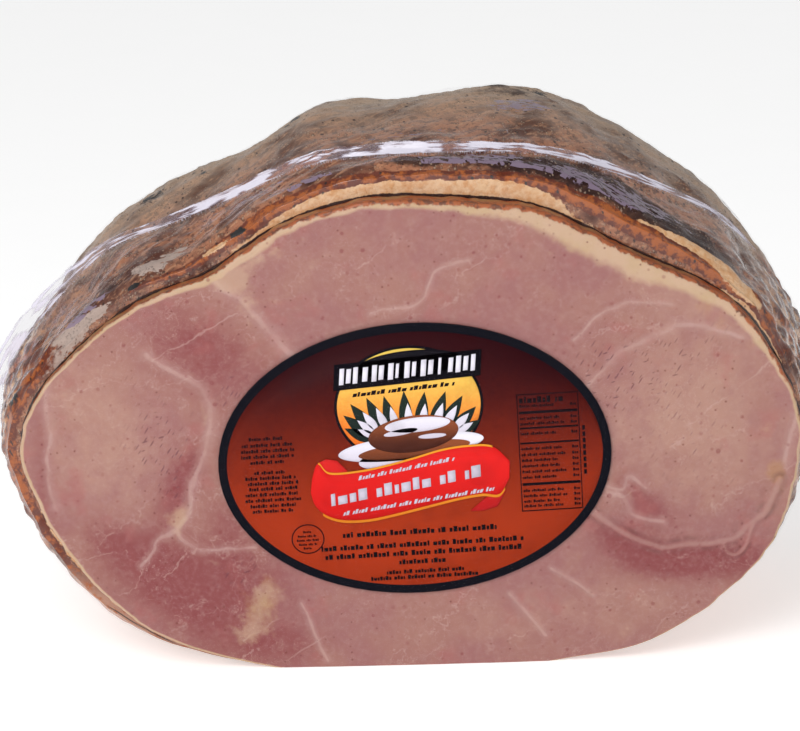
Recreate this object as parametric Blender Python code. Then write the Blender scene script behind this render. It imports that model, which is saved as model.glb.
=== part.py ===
"""Half a spiral-cut glazed ham, sealed in clear film that clings to it, lying on its flat side.

Metres, +Z up. The cut face looks towards -Y, with +X on the right of someone facing it.
The origin is the bottom centre of the whole object's box, on the surface it rests on.

Four solids: the ham's body, its first slice, the film's standing seam and the label.
Places on the ham are told as an angle round its long axis (0 degrees towards +X,
90 degrees up) and a depth behind the cut face.
"""
import math

import bmesh
import bpy
import numpy as np

MM = 0.001

# ---- Driving sizes (millimetres and degrees) ----
HAM_DEPTH = 165.0        # cut face to the rounded back
SLICE_THICK = 7.0        # the first slice
GAP = 0.3                # clearance between pieces that touch
AXIS_Z = 70.0            # height of the ham's long axis above the surface it rests on
LABEL_WIDE = 126.0       # a 5 inch by 3 1/2 inch oval label
LABEL_HIGH = 90.0
LABEL_THICK = 0.6
LABEL_TILT = 2.0         # its right end stands a little higher
LABEL_CENTRE = (1.0, 70.0)

# The cut face's outline, anticlockwise from its lowest point: X and Z.
# It dips below zero between the two ends of the flat that the ham rests on.
CUT_OUTLINE = (
    (0, -7), (46, 0), (76, 6), (102, 23), (118, 43), (125, 77), (114, 105), (98, 122),
    (70, 136), (42, 150), (14, 154), (-14, 154), (-40, 146), (-64, 131), (-85, 123),
    (-105, 108), (-119, 93), (-125, 77), (-121, 59), (-107, 34), (-83, 12), (-47, 0),
)

# Where the ham stands out past its shrunken first slice: angle, spread, height.
SHOULDERS = ((82, 38, 5.5), (42, 16, 3.0), (195, 28, 4.5))

# Hills and hollows of the glazed skin, a ring of them round the top: angle, height.
HILLS = (
    (12, 2.0), (24, -3.5), (38, 5.0), (52, 4.0), (66, 6.0), (80, 5.5), (94, 0.0),
    (108, 6.0), (122, 0.5), (136, 10.0), (150, 6.0), (164, 1.0),
)
HILL_SPREAD = 8.5        # degrees
HILL_DEPTH = 80.0        # how far behind the cut face they are highest
HILL_REACH = 36.0        # how far they run to the front and the back

EDGE_RISE = 3.0          # how much the ham widens over its rounded front edge
EDGE_LENGTH = 6.0
BARREL_RISE = 5.0        # how much it widens after that
BARREL_LENGTH = 60.0
UNDERSIDE_ANGLE = 275.0  # the underside, pressed flat, widens much less
UNDERSIDE_SPREAD = 38.0
UNDERSIDE_SHARE = 0.15
DRIFT = 8.0              # how far the ham's back lies to the right of its face
DRIFT_START = 20.0
DRIFT_LENGTH = 150.0
DOME_START = 0.38        # share of the depth where the back starts to round off
DOME_POWER = 2.6
DOME_ROOT = 2.2

BODY_MARGIN = 0.5        # what the ham keeps past its first slice all the way round
SLICE_ROUNDING = 2.0     # worn edge of the first slice

# The film's seam runs over the top, from low on the left to low on the right: angle, depth.
SEAM_ROUTE = (
    (176, 48), (160, 47), (145, 41), (130, 33), (115, 25), (100, 20), (85, 18),
    (70, 20), (58, 26), (45, 38), (32, 53), (22, 62),
)
SEAM_HIGH = 4.0
SEAM_LOW_ENDS = 2.0      # its height at the two ends
SEAM_THICK = 1.2
SEAM_TIP_SHARE = 0.6     # how much of that is left at its free edge

# ---- Mesh density ----
RINGS_AROUND = 96
EDGE_RINGS = 5           # over the body's rounded front edge
BACK_RINGS = 22          # from there to the end of its back, closer together over the dome
FIRST_TURN = 0.08        # where those start and end, as shares of a quarter turn
LAST_TURN = 0.985
ROUNDING_STEPS = 4
SEAM_STEPS = 90
SEAM_CURVE_DEGREE = 5    # of the smooth curve laid through the seam's route
LABEL_STEPS = 72
OUTLINE_STEPS = 40       # samples between two outline points


def wrap_degrees(angle):
    """An angle difference brought into -180..180 degrees."""
    return (angle + 180.0) % 360.0 - 180.0


def bell(distance, spread):
    """A bell curve: 1 at the middle, 0.61 one spread away."""
    return np.exp(-0.5 * (distance / spread) ** 2)


def ease(share):
    """0 to 1 with a soft start and a soft end."""
    share = np.clip(share, 0.0, 1.0)
    return share * share * (3.0 - 2.0 * share)


def curve_through(points, steps):
    """A smooth closed curve through the points (Catmull-Rom), as an array of X and Z."""
    points = np.asarray(points, float)
    share = np.linspace(0.0, 1.0, steps, endpoint=False)[:, None]
    before = np.roll(points, 1, axis=0)
    after = np.roll(points, -1, axis=0)
    later = np.roll(points, -2, axis=0)
    spans = []
    for p0, p1, p2, p3 in zip(before, points, after, later):
        bend = 2.0 * p0 - 5.0 * p1 + 4.0 * p2 - p3
        twist = -p0 + 3.0 * p1 - 3.0 * p2 + p3
        spans.append(0.5 * (2.0 * p1 + (p2 - p0) * share + bend * share ** 2 + twist * share ** 3))
    return np.concatenate(spans)


def outline_radius(angles):
    """Distance in mm from the long axis to the cut face's outline, at angles in degrees."""
    curve = curve_through(CUT_OUTLINE, OUTLINE_STEPS)
    across = curve[:, 0]
    above = curve[:, 1] - AXIS_Z
    around = np.degrees(np.arctan2(above, across)) % 360.0
    order = np.argsort(around)
    return np.interp(angles, around[order], np.hypot(across, above)[order], period=360.0)


def body_radius(angles, depth):
    """Distance in mm from the long axis to the skin, at one depth behind the cut face."""
    front = SLICE_THICK + GAP
    below = 1.0 - (1.0 - UNDERSIDE_SHARE) * bell(wrap_degrees(angles - UNDERSIDE_ANGLE), UNDERSIDE_SPREAD)
    swell = EDGE_RISE * ease((depth - front) / EDGE_LENGTH)
    swell = swell + BARREL_RISE * ease((depth - front) / BARREL_LENGTH)
    radius = outline_radius(angles) + BODY_MARGIN + swell * below
    for angle, spread, height in SHOULDERS:
        radius = radius + height * bell(wrap_degrees(angles - angle), spread)
    fade = bell(depth - HILL_DEPTH, HILL_REACH)
    for angle, height in HILLS:
        radius = radius + height * fade * bell(wrap_degrees(angles - angle), HILL_SPREAD)
    share = (depth - front) / (HAM_DEPTH - front)
    dome = np.clip((share - DOME_START) / (1.0 - DOME_START), 0.0, 1.0) ** DOME_POWER
    return radius * (1.0 - dome) ** (1.0 / DOME_ROOT)


def place(angles, radius, depth):
    """Points in metres at these angles, radii and depths."""
    turn = np.radians(angles)
    drift = DRIFT * ease((depth - DRIFT_START) / DRIFT_LENGTH)
    across = radius * np.cos(turn) + drift
    along = np.zeros_like(across) + depth - HAM_DEPTH / 2.0
    above = AXIS_Z + radius * np.sin(turn)
    return np.stack([across, along, above], axis=-1) * MM


def loft(rings):
    """A bmesh through closed rings of points: quads between them, a face on each end."""
    bm = bmesh.new()
    loops = [[bm.verts.new(point) for point in ring] for ring in rings]
    for near, far in zip(loops, loops[1:]):
        count = len(near)
        for index in range(count):
            after = (index + 1) % count
            bm.faces.new((near[index], near[after], far[after], far[index]))
    bm.faces.new(loops[0][::-1])
    bm.faces.new(loops[-1])
    bmesh.ops.recalc_face_normals(bm, faces=bm.faces)
    return bm


def flatten_base(bm):
    """Cut off what lies below the resting surface and close the cut with one flat face."""
    geometry = bm.verts[:] + bm.edges[:] + bm.faces[:]
    cut = bmesh.ops.bisect_plane(
        bm, geom=geometry, dist=1e-6, plane_co=(0, 0, 0), plane_no=(0, 0, 1), clear_inner=True)
    rim = [item for item in cut["geom_cut"] if isinstance(item, bmesh.types.BMEdge)]
    bmesh.ops.edgenet_fill(bm, edges=rim)
    bmesh.ops.recalc_face_normals(bm, faces=bm.faces)


def material(name, colour, roughness):
    """A plain Principled material."""
    made = bpy.data.materials.new(name)
    made.use_nodes = True
    shader = made.node_tree.nodes["Principled BSDF"]
    shader.inputs["Base Color"].default_value = (*colour, 1.0)
    shader.inputs["Roughness"].default_value = roughness
    shader.inputs["Metallic"].default_value = 0.0
    made.diffuse_color = (*colour, 1.0)
    return made


def add_object(name, bm, surface, sharp_degrees=40.0):
    """Turn a bmesh into a named object with smooth shading and one material."""
    mesh = bpy.data.meshes.new(name)
    bm.to_mesh(mesh)
    bm.free()
    mesh.materials.append(surface)
    mesh.shade_smooth()
    mesh.set_sharp_from_angle(angle=math.radians(sharp_degrees))
    made = bpy.data.objects.new(name, mesh)
    bpy.context.scene.collection.objects.link(made)
    return made


def ring_angles():
    return np.arange(RINGS_AROUND) * 360.0 / RINGS_AROUND


def make_body():
    """The ham behind its first slice: a swelling barrel with hills, closed by a dome."""
    front = SLICE_THICK + GAP
    angles = ring_angles()
    edge = front + EDGE_LENGTH * np.linspace(0.0, 1.0, EDGE_RINGS)
    turn = np.linspace(FIRST_TURN, LAST_TURN, BACK_RINGS) * math.pi / 2.0
    depths = np.concatenate([edge, front + (HAM_DEPTH - front) * np.sin(turn)])
    rings = [place(angles, body_radius(angles, depth), depth) for depth in depths]
    bm = loft(rings)
    flatten_base(bm)
    return add_object("ham_body", bm, material("glazed skin", (0.20, 0.085, 0.04), 0.3))


def make_slice():
    """The first slice: the cut face's outline, 7 mm thick, with worn edges."""
    angles = ring_angles()
    radius = outline_radius(angles)
    turn = np.linspace(0.0, math.pi / 2.0, ROUNDING_STEPS)
    depths = SLICE_ROUNDING * (1.0 - np.cos(turn))
    insets = SLICE_ROUNDING * (1.0 - np.sin(turn))
    rings = [place(angles, radius - inset, depth) for depth, inset in zip(depths, insets)]
    rings.append(place(angles, radius, SLICE_THICK))
    bm = loft(rings)
    flatten_base(bm)
    return add_object("front_slice", bm, material("cut meat", (0.72, 0.38, 0.34), 0.35))


def seam_samples():
    """Angle, depth and height of the seam along its run over the top."""
    route = np.asarray(SEAM_ROUTE, float)
    share = np.linspace(0.0, 1.0, len(route))
    fine = np.linspace(0.0, 1.0, SEAM_STEPS)
    angle = np.polyval(np.polyfit(share, route[:, 0], SEAM_CURVE_DEGREE), fine)
    depth = np.polyval(np.polyfit(share, route[:, 1], SEAM_CURVE_DEGREE), fine)
    height = SEAM_LOW_ENDS + (SEAM_HIGH - SEAM_LOW_ENDS) * np.sqrt(np.sin(math.pi * fine))
    return angle, depth, height


def make_seam():
    """The film's welded seam: a low thin fin that stands on the ham."""
    rings = []
    half = SEAM_THICK / 2.0
    tip = half * SEAM_TIP_SHARE
    for angle, depth, height in zip(*seam_samples()):
        one = np.array([angle])
        foot = max(body_radius(one, depth + side)[0] for side in (-half, 0.0, half)) + 2.0 * GAP
        corners = ((foot, -half), (foot, half), (foot + height, tip), (foot + height, -tip))
        rings.append([place(one, radius, depth + side)[0] for radius, side in corners])
    bm = loft(rings)
    return add_object("film_seam", bm, material("clear film", (0.80, 0.80, 0.82), 0.15))


def make_label():
    """The oval label, a thin plate just in front of the cut face."""
    bm = bmesh.new()
    bmesh.ops.create_circle(bm, cap_ends=True, segments=LABEL_STEPS, radius=1.0)
    for vert in bm.verts:
        vert.co.x *= LABEL_WIDE / 2.0 * MM
        vert.co.y *= LABEL_HIGH / 2.0 * MM
    lifted = bmesh.ops.extrude_face_region(bm, geom=bm.faces[:])
    top = [item for item in lifted["geom"] if isinstance(item, bmesh.types.BMVert)]
    bmesh.ops.translate(bm, verts=top, vec=(0.0, 0.0, LABEL_THICK * MM))
    bmesh.ops.recalc_face_normals(bm, faces=bm.faces)
    made = add_object("label", bm, material("label print", (0.42, 0.05, 0.03), 0.3))
    made.rotation_euler = (math.pi / 2.0, math.radians(-LABEL_TILT), 0.0)
    made.location = (LABEL_CENTRE[0] * MM, -(HAM_DEPTH / 2.0 + GAP) * MM, LABEL_CENTRE[1] * MM)
    return made


def main():
    for old in list(bpy.data.objects):
        bpy.data.objects.remove(old)
    for made in (make_body(), make_slice(), make_seam(), make_label()):
        print(made.name, len(made.data.polygons), "faces")


main()
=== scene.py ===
# %% [markdown]
# # A glazed half ham in clear film
# The ham lies on its flat side with its cut face to the front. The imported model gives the
# places: the ham's body, its first slice, the film's seam and the oval label. This lesson
# puts the real surfaces round them, one piece at a time: skin, meat, print, then film.

import itertools
import math

import bpy
import numpy as np
from mathutils import Matrix, Vector


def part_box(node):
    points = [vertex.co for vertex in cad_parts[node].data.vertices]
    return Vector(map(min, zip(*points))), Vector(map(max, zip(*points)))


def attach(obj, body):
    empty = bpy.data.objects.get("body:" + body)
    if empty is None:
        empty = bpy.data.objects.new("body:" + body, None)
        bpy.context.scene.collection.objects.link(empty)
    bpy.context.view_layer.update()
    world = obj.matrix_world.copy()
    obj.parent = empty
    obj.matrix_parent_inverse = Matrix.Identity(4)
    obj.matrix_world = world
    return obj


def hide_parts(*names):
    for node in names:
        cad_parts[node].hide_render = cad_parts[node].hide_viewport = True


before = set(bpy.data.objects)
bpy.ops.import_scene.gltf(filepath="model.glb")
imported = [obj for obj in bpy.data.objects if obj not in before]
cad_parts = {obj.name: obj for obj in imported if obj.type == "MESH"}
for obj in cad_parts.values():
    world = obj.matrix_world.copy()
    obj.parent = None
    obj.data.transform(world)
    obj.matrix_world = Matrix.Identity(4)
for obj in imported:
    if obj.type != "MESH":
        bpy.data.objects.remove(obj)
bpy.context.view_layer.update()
MM = 0.001
FACE_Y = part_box("front_slice")[0][1] / MM
BACK_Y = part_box("ham_body")[1][1] / MM
HAM_DEPTH = BACK_Y - FACE_Y
print("nodes", sorted(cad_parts), "depth in mm", round(HAM_DEPTH, 1))

# %% [markdown]
# Everything is worked out in millimetres on two numbers: the angle round the ham's long
# axis, with 0 degrees on the right and 90 on top, and the depth behind the cut face. Whole
# arrays of them go through each formula at once, which is fast and keeps the code short.

# %% Small formulas that every surface uses
def wrap_degrees(angle):
    """An angle difference brought into -180..180 degrees."""
    return (angle + 180.0) % 360.0 - 180.0


def outward(turn):
    """Unit arrows from the long axis at these angles in radians, as X, Y and Z."""
    return np.stack([np.cos(turn), np.zeros_like(turn), np.sin(turn)], axis=-1)


def bell(distance, spread):
    """A bell curve: 1 at the middle, 0.61 one spread away."""
    return np.exp(-0.5 * (distance / spread) ** 2)


def ease(share):
    """0 to 1 with a soft start and a soft end: 3s^2 - 2s^3, held at both ends."""
    share = np.clip(share, 0.0, 1.0)
    return share * share * (3.0 - 2.0 * share)


LATTICE = 24


def lumps(points, size, seed):
    """Soft bumps between -1 and 1, about `size` mm apart.

    Random heights stand on the corners of a cubic lattice, and each point takes a smooth
    blend of the eight corners round it.
    """
    table = np.random.default_rng(seed).uniform(-1.0, 1.0, (LATTICE,) * 3)
    place = points / size
    low = np.floor(place).astype(int)
    share = ease(place - low)
    total = np.zeros(points.shape[:-1])
    for corner in itertools.product((0, 1), repeat=3):
        index = (low + corner) % LATTICE
        weight = np.prod(np.where(corner, share, 1.0 - share), axis=-1)
        total += weight * table[index[..., 0], index[..., 1], index[..., 2]]
    return total


def heaps(points, *rows):
    """Several sizes of lumps on top of each other: rows of height, size and seed."""
    return sum(height * lumps(points, size, seed) for height, size, seed in rows)

# %% [markdown]
# The ham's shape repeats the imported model's own sizes, so that the skin lies where the solid
# is: an outline for the cut face, a barrel that swells behind it, a ring of hills over the
# top and a dome at the back. A ham is lopsided, so no circle or ellipse would do.

# %% The ham's shape
AXIS_Z = 70.0
SLICE_THICK = 7.0
GAP = 0.3
FRONT = SLICE_THICK + GAP
CUT_OUTLINE = (
    (0, -7), (46, 0), (76, 6), (102, 23), (118, 43), (125, 77), (114, 105), (98, 122), (70, 136),
    (42, 150), (14, 154), (-14, 154), (-40, 146), (-64, 131), (-85, 123), (-105, 108), (-119, 93),
    (-125, 77), (-121, 59), (-107, 34), (-83, 12), (-47, 0),
)
SHOULDERS = ((82, 38, 5.5), (42, 16, 3.0), (195, 28, 4.5))
HILLS = (
    (12, 2), (24, -3.5), (38, 5), (52, 4), (66, 6), (80, 5.5), (94, 0), (108, 6), (122, 0.5), (136, 10),
    (150, 6), (164, 1),
)
HILL_SPREAD, HILL_DEPTH, HILL_REACH = 8.5, 80.0, 36.0
EDGE_RISE, EDGE_LENGTH = 3.0, 6.0
BARREL_RISE, BARREL_LENGTH = 5.0, 60.0
UNDERSIDE_ANGLE, UNDERSIDE_SPREAD, UNDERSIDE_SHARE = 275.0, 38.0, 0.15
BODY_MARGIN = 0.5
DRIFT, DRIFT_START, DRIFT_LENGTH = 8.0, 20.0, 150.0
DOME_START, DOME_POWER, DOME_ROOT = 0.38, 2.6, 2.2


def spans(before, points, after, later, steps):
    """From each point to the one after it: a cubic that leaves and arrives along the line
    between its neighbours (Catmull-Rom), read at `steps` places.
    """
    share = np.linspace(0.0, 1.0, steps, endpoint=False)[:, None]
    made = []
    for p0, p1, p2, p3 in zip(before, points, after, later):
        bend = 2.0 * p0 - 5.0 * p1 + 4.0 * p2 - p3
        twist = -p0 + 3.0 * p1 - 3.0 * p2 + p3
        made.append(0.5 * (2.0 * p1 + (p2 - p0) * share + bend * share ** 2 + twist * share ** 3))
    return made


def curve_through(points, steps):
    """A smooth closed curve through the points, as an array of X and Z."""
    turned = [np.roll(np.asarray(points, float), shift, axis=0) for shift in (1, 0, -1, -2)]
    return np.concatenate(spans(*turned, steps))


def outline_radius(angles):
    """Distance from the long axis to the cut face's outline, read off the smooth curve."""
    curve = curve_through(CUT_OUTLINE, 40)
    across, above = curve[:, 0], curve[:, 1] - AXIS_Z
    around = np.degrees(np.arctan2(above, across)) % 360.0
    order = np.argsort(around)
    return np.interp(angles, around[order], np.hypot(across, above)[order], period=360.0)


def body_radius(angles, depth):
    """Distance from the long axis to the skin.

    The outline's radius plus a rounded front edge, a barrel, three shoulders and the hills,
    times a dome that falls to nothing at the back.
    """
    below = 1.0 - (1.0 - UNDERSIDE_SHARE) * bell(wrap_degrees(angles - UNDERSIDE_ANGLE), UNDERSIDE_SPREAD)
    swell = EDGE_RISE * ease((depth - FRONT) / EDGE_LENGTH)
    swell = swell + BARREL_RISE * ease((depth - FRONT) / BARREL_LENGTH)
    radius = outline_radius(angles) + BODY_MARGIN + swell * below
    for angle, spread, height in SHOULDERS:
        radius = radius + height * bell(wrap_degrees(angles - angle), spread)
    fade = bell(depth - HILL_DEPTH, HILL_REACH)
    for angle, height in HILLS:
        radius = radius + height * fade * bell(wrap_degrees(angles - angle), HILL_SPREAD)
    share = (depth - FRONT) / (HAM_DEPTH - FRONT)
    dome = np.clip((share - DOME_START) / (1.0 - DOME_START), 0.0, 1.0) ** DOME_POWER
    return radius * (1.0 - dome) ** (1.0 / DOME_ROOT)


def place(angles, radius, depth):
    """Points in mm at these angles, radii and depths."""
    turn = np.radians(angles)
    drift = DRIFT * ease((depth - DRIFT_START) / DRIFT_LENGTH)
    across = radius * np.cos(turn) + drift
    above = AXIS_Z + radius * np.sin(turn)
    return np.stack(np.broadcast_arrays(across, depth + FACE_Y, above), axis=-1)

# %% [markdown]
# A surface on a grid becomes a mesh in one go: points row by row, four-cornered faces
# between neighbours, and a fan of triangles where the first and the last row shrink to a
# point. Numbers that a material needs later travel with the points as attributes.

# %% From arrays to a Blender mesh
def new_mesh(name, points, faces, fields=None, smooth=True):
    """A mesh object from points in mm and a list of face arrays (one array per face size)."""
    mesh = bpy.data.meshes.new(name)
    mesh.vertices.add(len(points))
    mesh.vertices.foreach_set("co", (points * MM).astype(np.float32).ravel())
    corners = np.concatenate([array.ravel() for array in faces])
    sizes = np.concatenate([np.full(len(array), array.shape[1]) for array in faces])
    starts = np.concatenate([[0], np.cumsum(sizes)[:-1]])
    mesh.loops.add(len(corners))
    mesh.loops.foreach_set("vertex_index", corners.astype(np.int32))
    mesh.polygons.add(len(sizes))
    mesh.polygons.foreach_set("loop_start", starts.astype(np.int32))
    for field, values in (fields or {}).items():
        kind = "FLOAT_VECTOR" if values.ndim == 2 else "FLOAT"
        layer = mesh.attributes.new(field, kind, "POINT")
        layer.data.foreach_set("vector" if values.ndim == 2 else "value", values.astype(np.float32).ravel())
    mesh.update(calc_edges=True)
    mesh.validate()
    if smooth:
        mesh.shade_smooth()
    made = bpy.data.objects.new(name, mesh)
    bpy.context.scene.collection.objects.link(made)
    return made


def grid_faces(rows, columns, closed=True):
    """Corner numbers of the quads of a grid, wrapped round if closed."""
    row = np.arange(rows - 1)[:, None] * columns
    column = np.arange(columns if closed else columns - 1)[None, :]
    after = (column + 1) % columns
    quads = np.stack([row + column, row + columns + column, row + columns + after, row + after], axis=-1)
    return quads.reshape(-1, 4)


def fan_faces(pole, ring):
    """Triangles from one pole point to each edge of a closed ring."""
    return np.stack([np.full(len(ring), pole), ring, np.roll(ring, -1)], axis=-1)


def capped(grid, first_pole, last_pole):
    """A tube of rings with a pole at each end: its points, its quads and its triangles."""
    rows, columns = grid.shape[:2]
    points = np.concatenate([grid.reshape(-1, 3), first_pole[None], last_pole[None]])
    near = fan_faces(rows * columns, np.arange(columns))
    far = fan_faces(rows * columns + 1, np.arange((rows - 1) * columns, rows * columns)[::-1])
    return points, grid_faces(rows, columns), np.concatenate([near, far])


def closed_surface(name, grid, front_pole, back_pole, fields):
    """A closed mesh: rings of points, anticlockwise from the front, with a pole at each end."""
    rows, columns = grid.shape[:2]
    points, quads, fans = capped(grid, front_pole, back_pole)
    whole = {}
    for field, values in fields.items():
        flat = values.reshape(rows * columns, -1)
        ends = np.stack([values[0].reshape(columns, -1).mean(0), values[-1].reshape(columns, -1).mean(0)])
        whole[field] = np.concatenate([flat, ends])
        whole[field] = whole[field] if values.ndim == 3 else whole[field][:, 0]
    made = new_mesh(name, points, [quads, fans], whole)
    print(name, len(points), "points", 2 * len(quads) + len(fans), "triangles")
    return made


def grid_normals(grid):
    """Outward unit normals of a grid of rings, from the cross product of its two directions."""
    around = np.roll(grid, -1, axis=1) - np.roll(grid, 1, axis=1)
    along = np.gradient(grid, axis=0)
    normal = np.cross(along, around)
    return normal / np.maximum(np.linalg.norm(normal, axis=-1, keepdims=True), 1e-9)

# %% [markdown]
# ## The glazed ham
# Behind its first slice the ham shows a narrow band of its own cut face, and then skin:
# burnt sugar over fat, pitted, wrinkled and lumpy. The grid's rows run from the middle of
# the cut face out to its rim, over the edge and back to the end of the dome. They are
# closest together where the eye looks, at the rim and over the top.

# %% Rows and columns of the skin
TOP_ANGLES = np.linspace(-15.0, 200.0, 430, endpoint=False)
UNDER_ANGLES = np.linspace(200.0, 345.0, 110, endpoint=False)
ANGLES = np.concatenate([TOP_ANGLES, UNDER_ANGLES])
RIM_STEPS = np.array([60.0, 30.0, 14.0, 9.0, 7.4, 6.4, 5.4, 4.4, 3.5, 2.7, 2.0, 1.4, 0.9, 0.5, 0.2])
EDGE_DEPTHS = FRONT + np.concatenate([[0.1, 0.4, 0.9], np.arange(1.5, 26.0, 0.7)])
BACK_TURNS = np.linspace(math.asin((EDGE_DEPTHS[-1] + 0.8 - FRONT) / (HAM_DEPTH - FRONT)), 1.55, 112)
DEPTHS = np.concatenate([EDGE_DEPTHS, FRONT + (HAM_DEPTH - FRONT) * np.sin(BACK_TURNS)])
print(len(ANGLES), "columns", len(RIM_STEPS) + len(DEPTHS), "rows")


def skin_grid():
    """The smooth skin as rings of points, with each point's angle and its way past the rim."""
    angles, depths = np.meshgrid(ANGLES, DEPTHS)
    skin = place(angles, body_radius(angles, depths), depths)
    front_angles, inside = np.meshgrid(ANGLES, RIM_STEPS)
    corner = body_radius(front_angles, np.full_like(front_angles, FRONT))
    cut = place(front_angles, corner - inside, np.full_like(front_angles, FRONT))
    around = np.concatenate([front_angles, angles])
    along = np.concatenate([-inside, depths - FRONT])
    return np.concatenate([cut, skin]), around, along

# %% [markdown]
# The scored net on the ham's sides is a pattern of diamonds. The distance to the nearest of
# its two sets of slanting lines is all that is needed: near zero is a pale groove, far from
# it a browned pillow. The same distance shapes the surface and colours it.

# %% Marks on the skin
NET_PITCH = 8.5
NET_SLANT = 38.0
NET_REACH = 112.0
NET_MIDDLES, NET_SPREAD, NET_FULLNESS = (2.0, 183.0), 14.0, 1.3
NET_START, NET_RISE, NET_END, NET_END_WANDER, NET_FALL = 1.0, 8.0, 62.0, 14.0, 40.0
BACK_START, BACK_LENGTH = 105.0, 30.0


def net_distance(arc, along, wobble):
    """Distance in mm to the nearest of two sets of slanting parallel lines."""
    turn = math.radians(NET_SLANT)
    nearest = np.full(arc.shape, NET_PITCH)
    for side in (1.0, -1.0):
        across = (arc * math.cos(turn) + side * along * math.sin(turn) + wobble) / NET_PITCH
        nearest = np.minimum(nearest, np.abs(across - np.round(across)) * NET_PITCH)
    return nearest


def blots(around, along, marks):
    """Soft marks added up: each has an angle, a way past the rim, two spreads and a strength."""
    total = np.zeros(around.shape)
    for angle, way, spread, length, strength in marks:
        total += strength * bell(wrap_degrees(around - angle), spread) * bell(along - way, length)
    return total

# %% [markdown]
# Colour marks are soft ovals, placed by angle and by the way past the rim: cream where the
# glaze missed, amber near the edge, black chars, dark wet patches and grey dry ones. The
# first two rows say how much of the ham's own cut edge shows, angle by angle.

# %% Where the marks are
CUT_ANGLES = (0, 16, 24, 31, 45, 57, 64, 75, 100, 122, 134, 145, 178, 190, 215, 270, 330)
CUT_SHARES = (0.9, 1, 0.8, 0.2, 0.1, 0.3, 0.8, 1, 1, 0.7, 0.3, 0.12, 0.15, 0.5, 0.7, 0.8, 0.8)
SKIN_MARKS = {
    "cream": (
        (25, 1.5, 4.5, 3.4, 1.15), (31, 4.6, 3.4, 2, 1.1), (36, 4.6, 2.8, 1.4, 0.95),
        (40, 3.2, 2.4, 1.1, 0.85), (44.5, 2.8, 2, 1, 0.85), (48.5, 2.4, 1.4, 0.8, 0.6),
        (56.5, 1.1, 2.2, 1, 0.9), (61, 1.6, 1.2, 0.8, 0.6), (133, 1, 2.6, 1.8, 0.95),
        (129, 0.6, 2, 1.5, 0.7), (108, 1, 3, 1, 0.4),
    ),
    "amber": (
        (85, 0.2, 30, 1.5, 1), (44, -0.8, 15, 2.2, 1.3), (120, 0.6, 12, 2, 1), (22, 5, 8, 5, 0.8),
        (168, 12, 5, 7, 0.8), (182, 2, 9, 3.5, 0.9), (215, -1, 25, 1.4, 0.9), (165, 5, 4, 6, 0.3),
        (140, 0, 8, 1, 0.7),
    ),
    "char": (
        (126, 1.5, 1.8, 1.4, 1), (147, 1.4, 1, 1.2, 1), (112, 70, 3, 7, 0.9), (121, 76, 2.5, 6, 0.7),
        (140, 62, 3, 7, 0.7), (130, 58, 2, 5, 0.6), (68, 78, 3, 6, 0.7), (80, 100, 3, 5, 0.8),
        (40, 118, 3.5, 6, 0.8), (150, 120, 4, 6, 0.8), (171, 5, 1.6, 3, 0.8), (28, 62, 2.5, 4, 0.6),
    ),
    "dark": (
        (50, 13, 12, 8, 1), (69, 7, 9, 3.4, 0.8), (88, 6, 6, 3, 0.75), (74, 72, 7, 12, 0.55),
        (150, 9, 10, 7, 0.45), (36, 11, 8, 6, 0.8), (110, 5, 6, 2.4, 0.5), (130, 7, 5, 4, 0.4),
        (100, 120, 12, 10, 0.6), (30, 100, 10, 12, 0.6), (160, 110, 12, 12, 0.6), (60, 140, 20, 8, 0.6),
    ),
    "grey": (
        (163, 1.5, 4, 3.4, 1), (158, 2.5, 3, 2.4, 0.8), (154, 1.5, 2.2, 1.6, 0.6), (143, 5, 3.2, 1.6, 0.75),
        (140, 8.5, 3.4, 1.4, 0.7), (138, 12.5, 3, 1.3, 0.6), (144, 9.5, 2.4, 1.2, 0.5),
    ),
}

# %% [markdown]
# The fields carry the marks to the material. The relief then lifts each point along the
# skin's own normal, so that lumps, wrinkles and the net are real shape and not only shading.

# %% Fields, relief and the skin itself
def skin_fields(around, along, smooth_points):
    """What the skin's material needs to know at each point."""
    reach = np.hypot(smooth_points[..., 0], smooth_points[..., 2] - AXIS_Z)
    from_top = np.radians(wrap_degrees(around - 90.0))
    flow = np.stack([from_top * reach, along, np.zeros_like(along)], axis=-1)
    wobble = heaps(smooth_points, (2.6, 15.0, 5), (0.9, 4.0, 6))
    sides = sum(bell(wrap_degrees(around - middle), NET_SPREAD) for middle in NET_MIDDLES)
    zone = np.clip(sides * ease((along - NET_START) / NET_RISE) * NET_FULLNESS, 0.0, 1.0)
    end = NET_END + NET_END_WANDER * lumps(smooth_points, 20.0, 10)
    zone = zone * (1.0 - ease((along - end) / NET_FALL))
    over = reach - outline_radius(around)
    height = smooth_points[..., 2]
    back_half = ease((along - 85.0) / 30.0)
    shown = np.interp(around, CUT_ANGLES, CUT_SHARES, period=360.0)
    cut = shown * (0.05 - 0.5 * along) + 0.25 * lumps(smooth_points, 9.0, 9)
    marked = {name: blots(around, along, marks) for name, marks in SKIN_MARKS.items()}
    return {
        "flow": flow * MM,
        "back": ease((along - BACK_START) / BACK_LENGTH),
        "over_slice": np.where(along < 0.0, over, 9.0),
        "net": net_distance(from_top * NET_REACH, along, wobble),
        "net_zone": zone,
        **marked,
        "cream": np.maximum(marked["cream"], cut),
        # painted haze: the white surroundings mirrored in the film, lighter towards the top
        "painted_haze": ease((along - 18.0) / 60.0) * ease((height - 70.0) / 60.0) * (1.0 - 0.6 * back_half),
        "under": 1.0 - ease((height - 12.0 - 8.0 * lumps(smooth_points, 30.0, 8)) / 34.0),
    }


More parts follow.
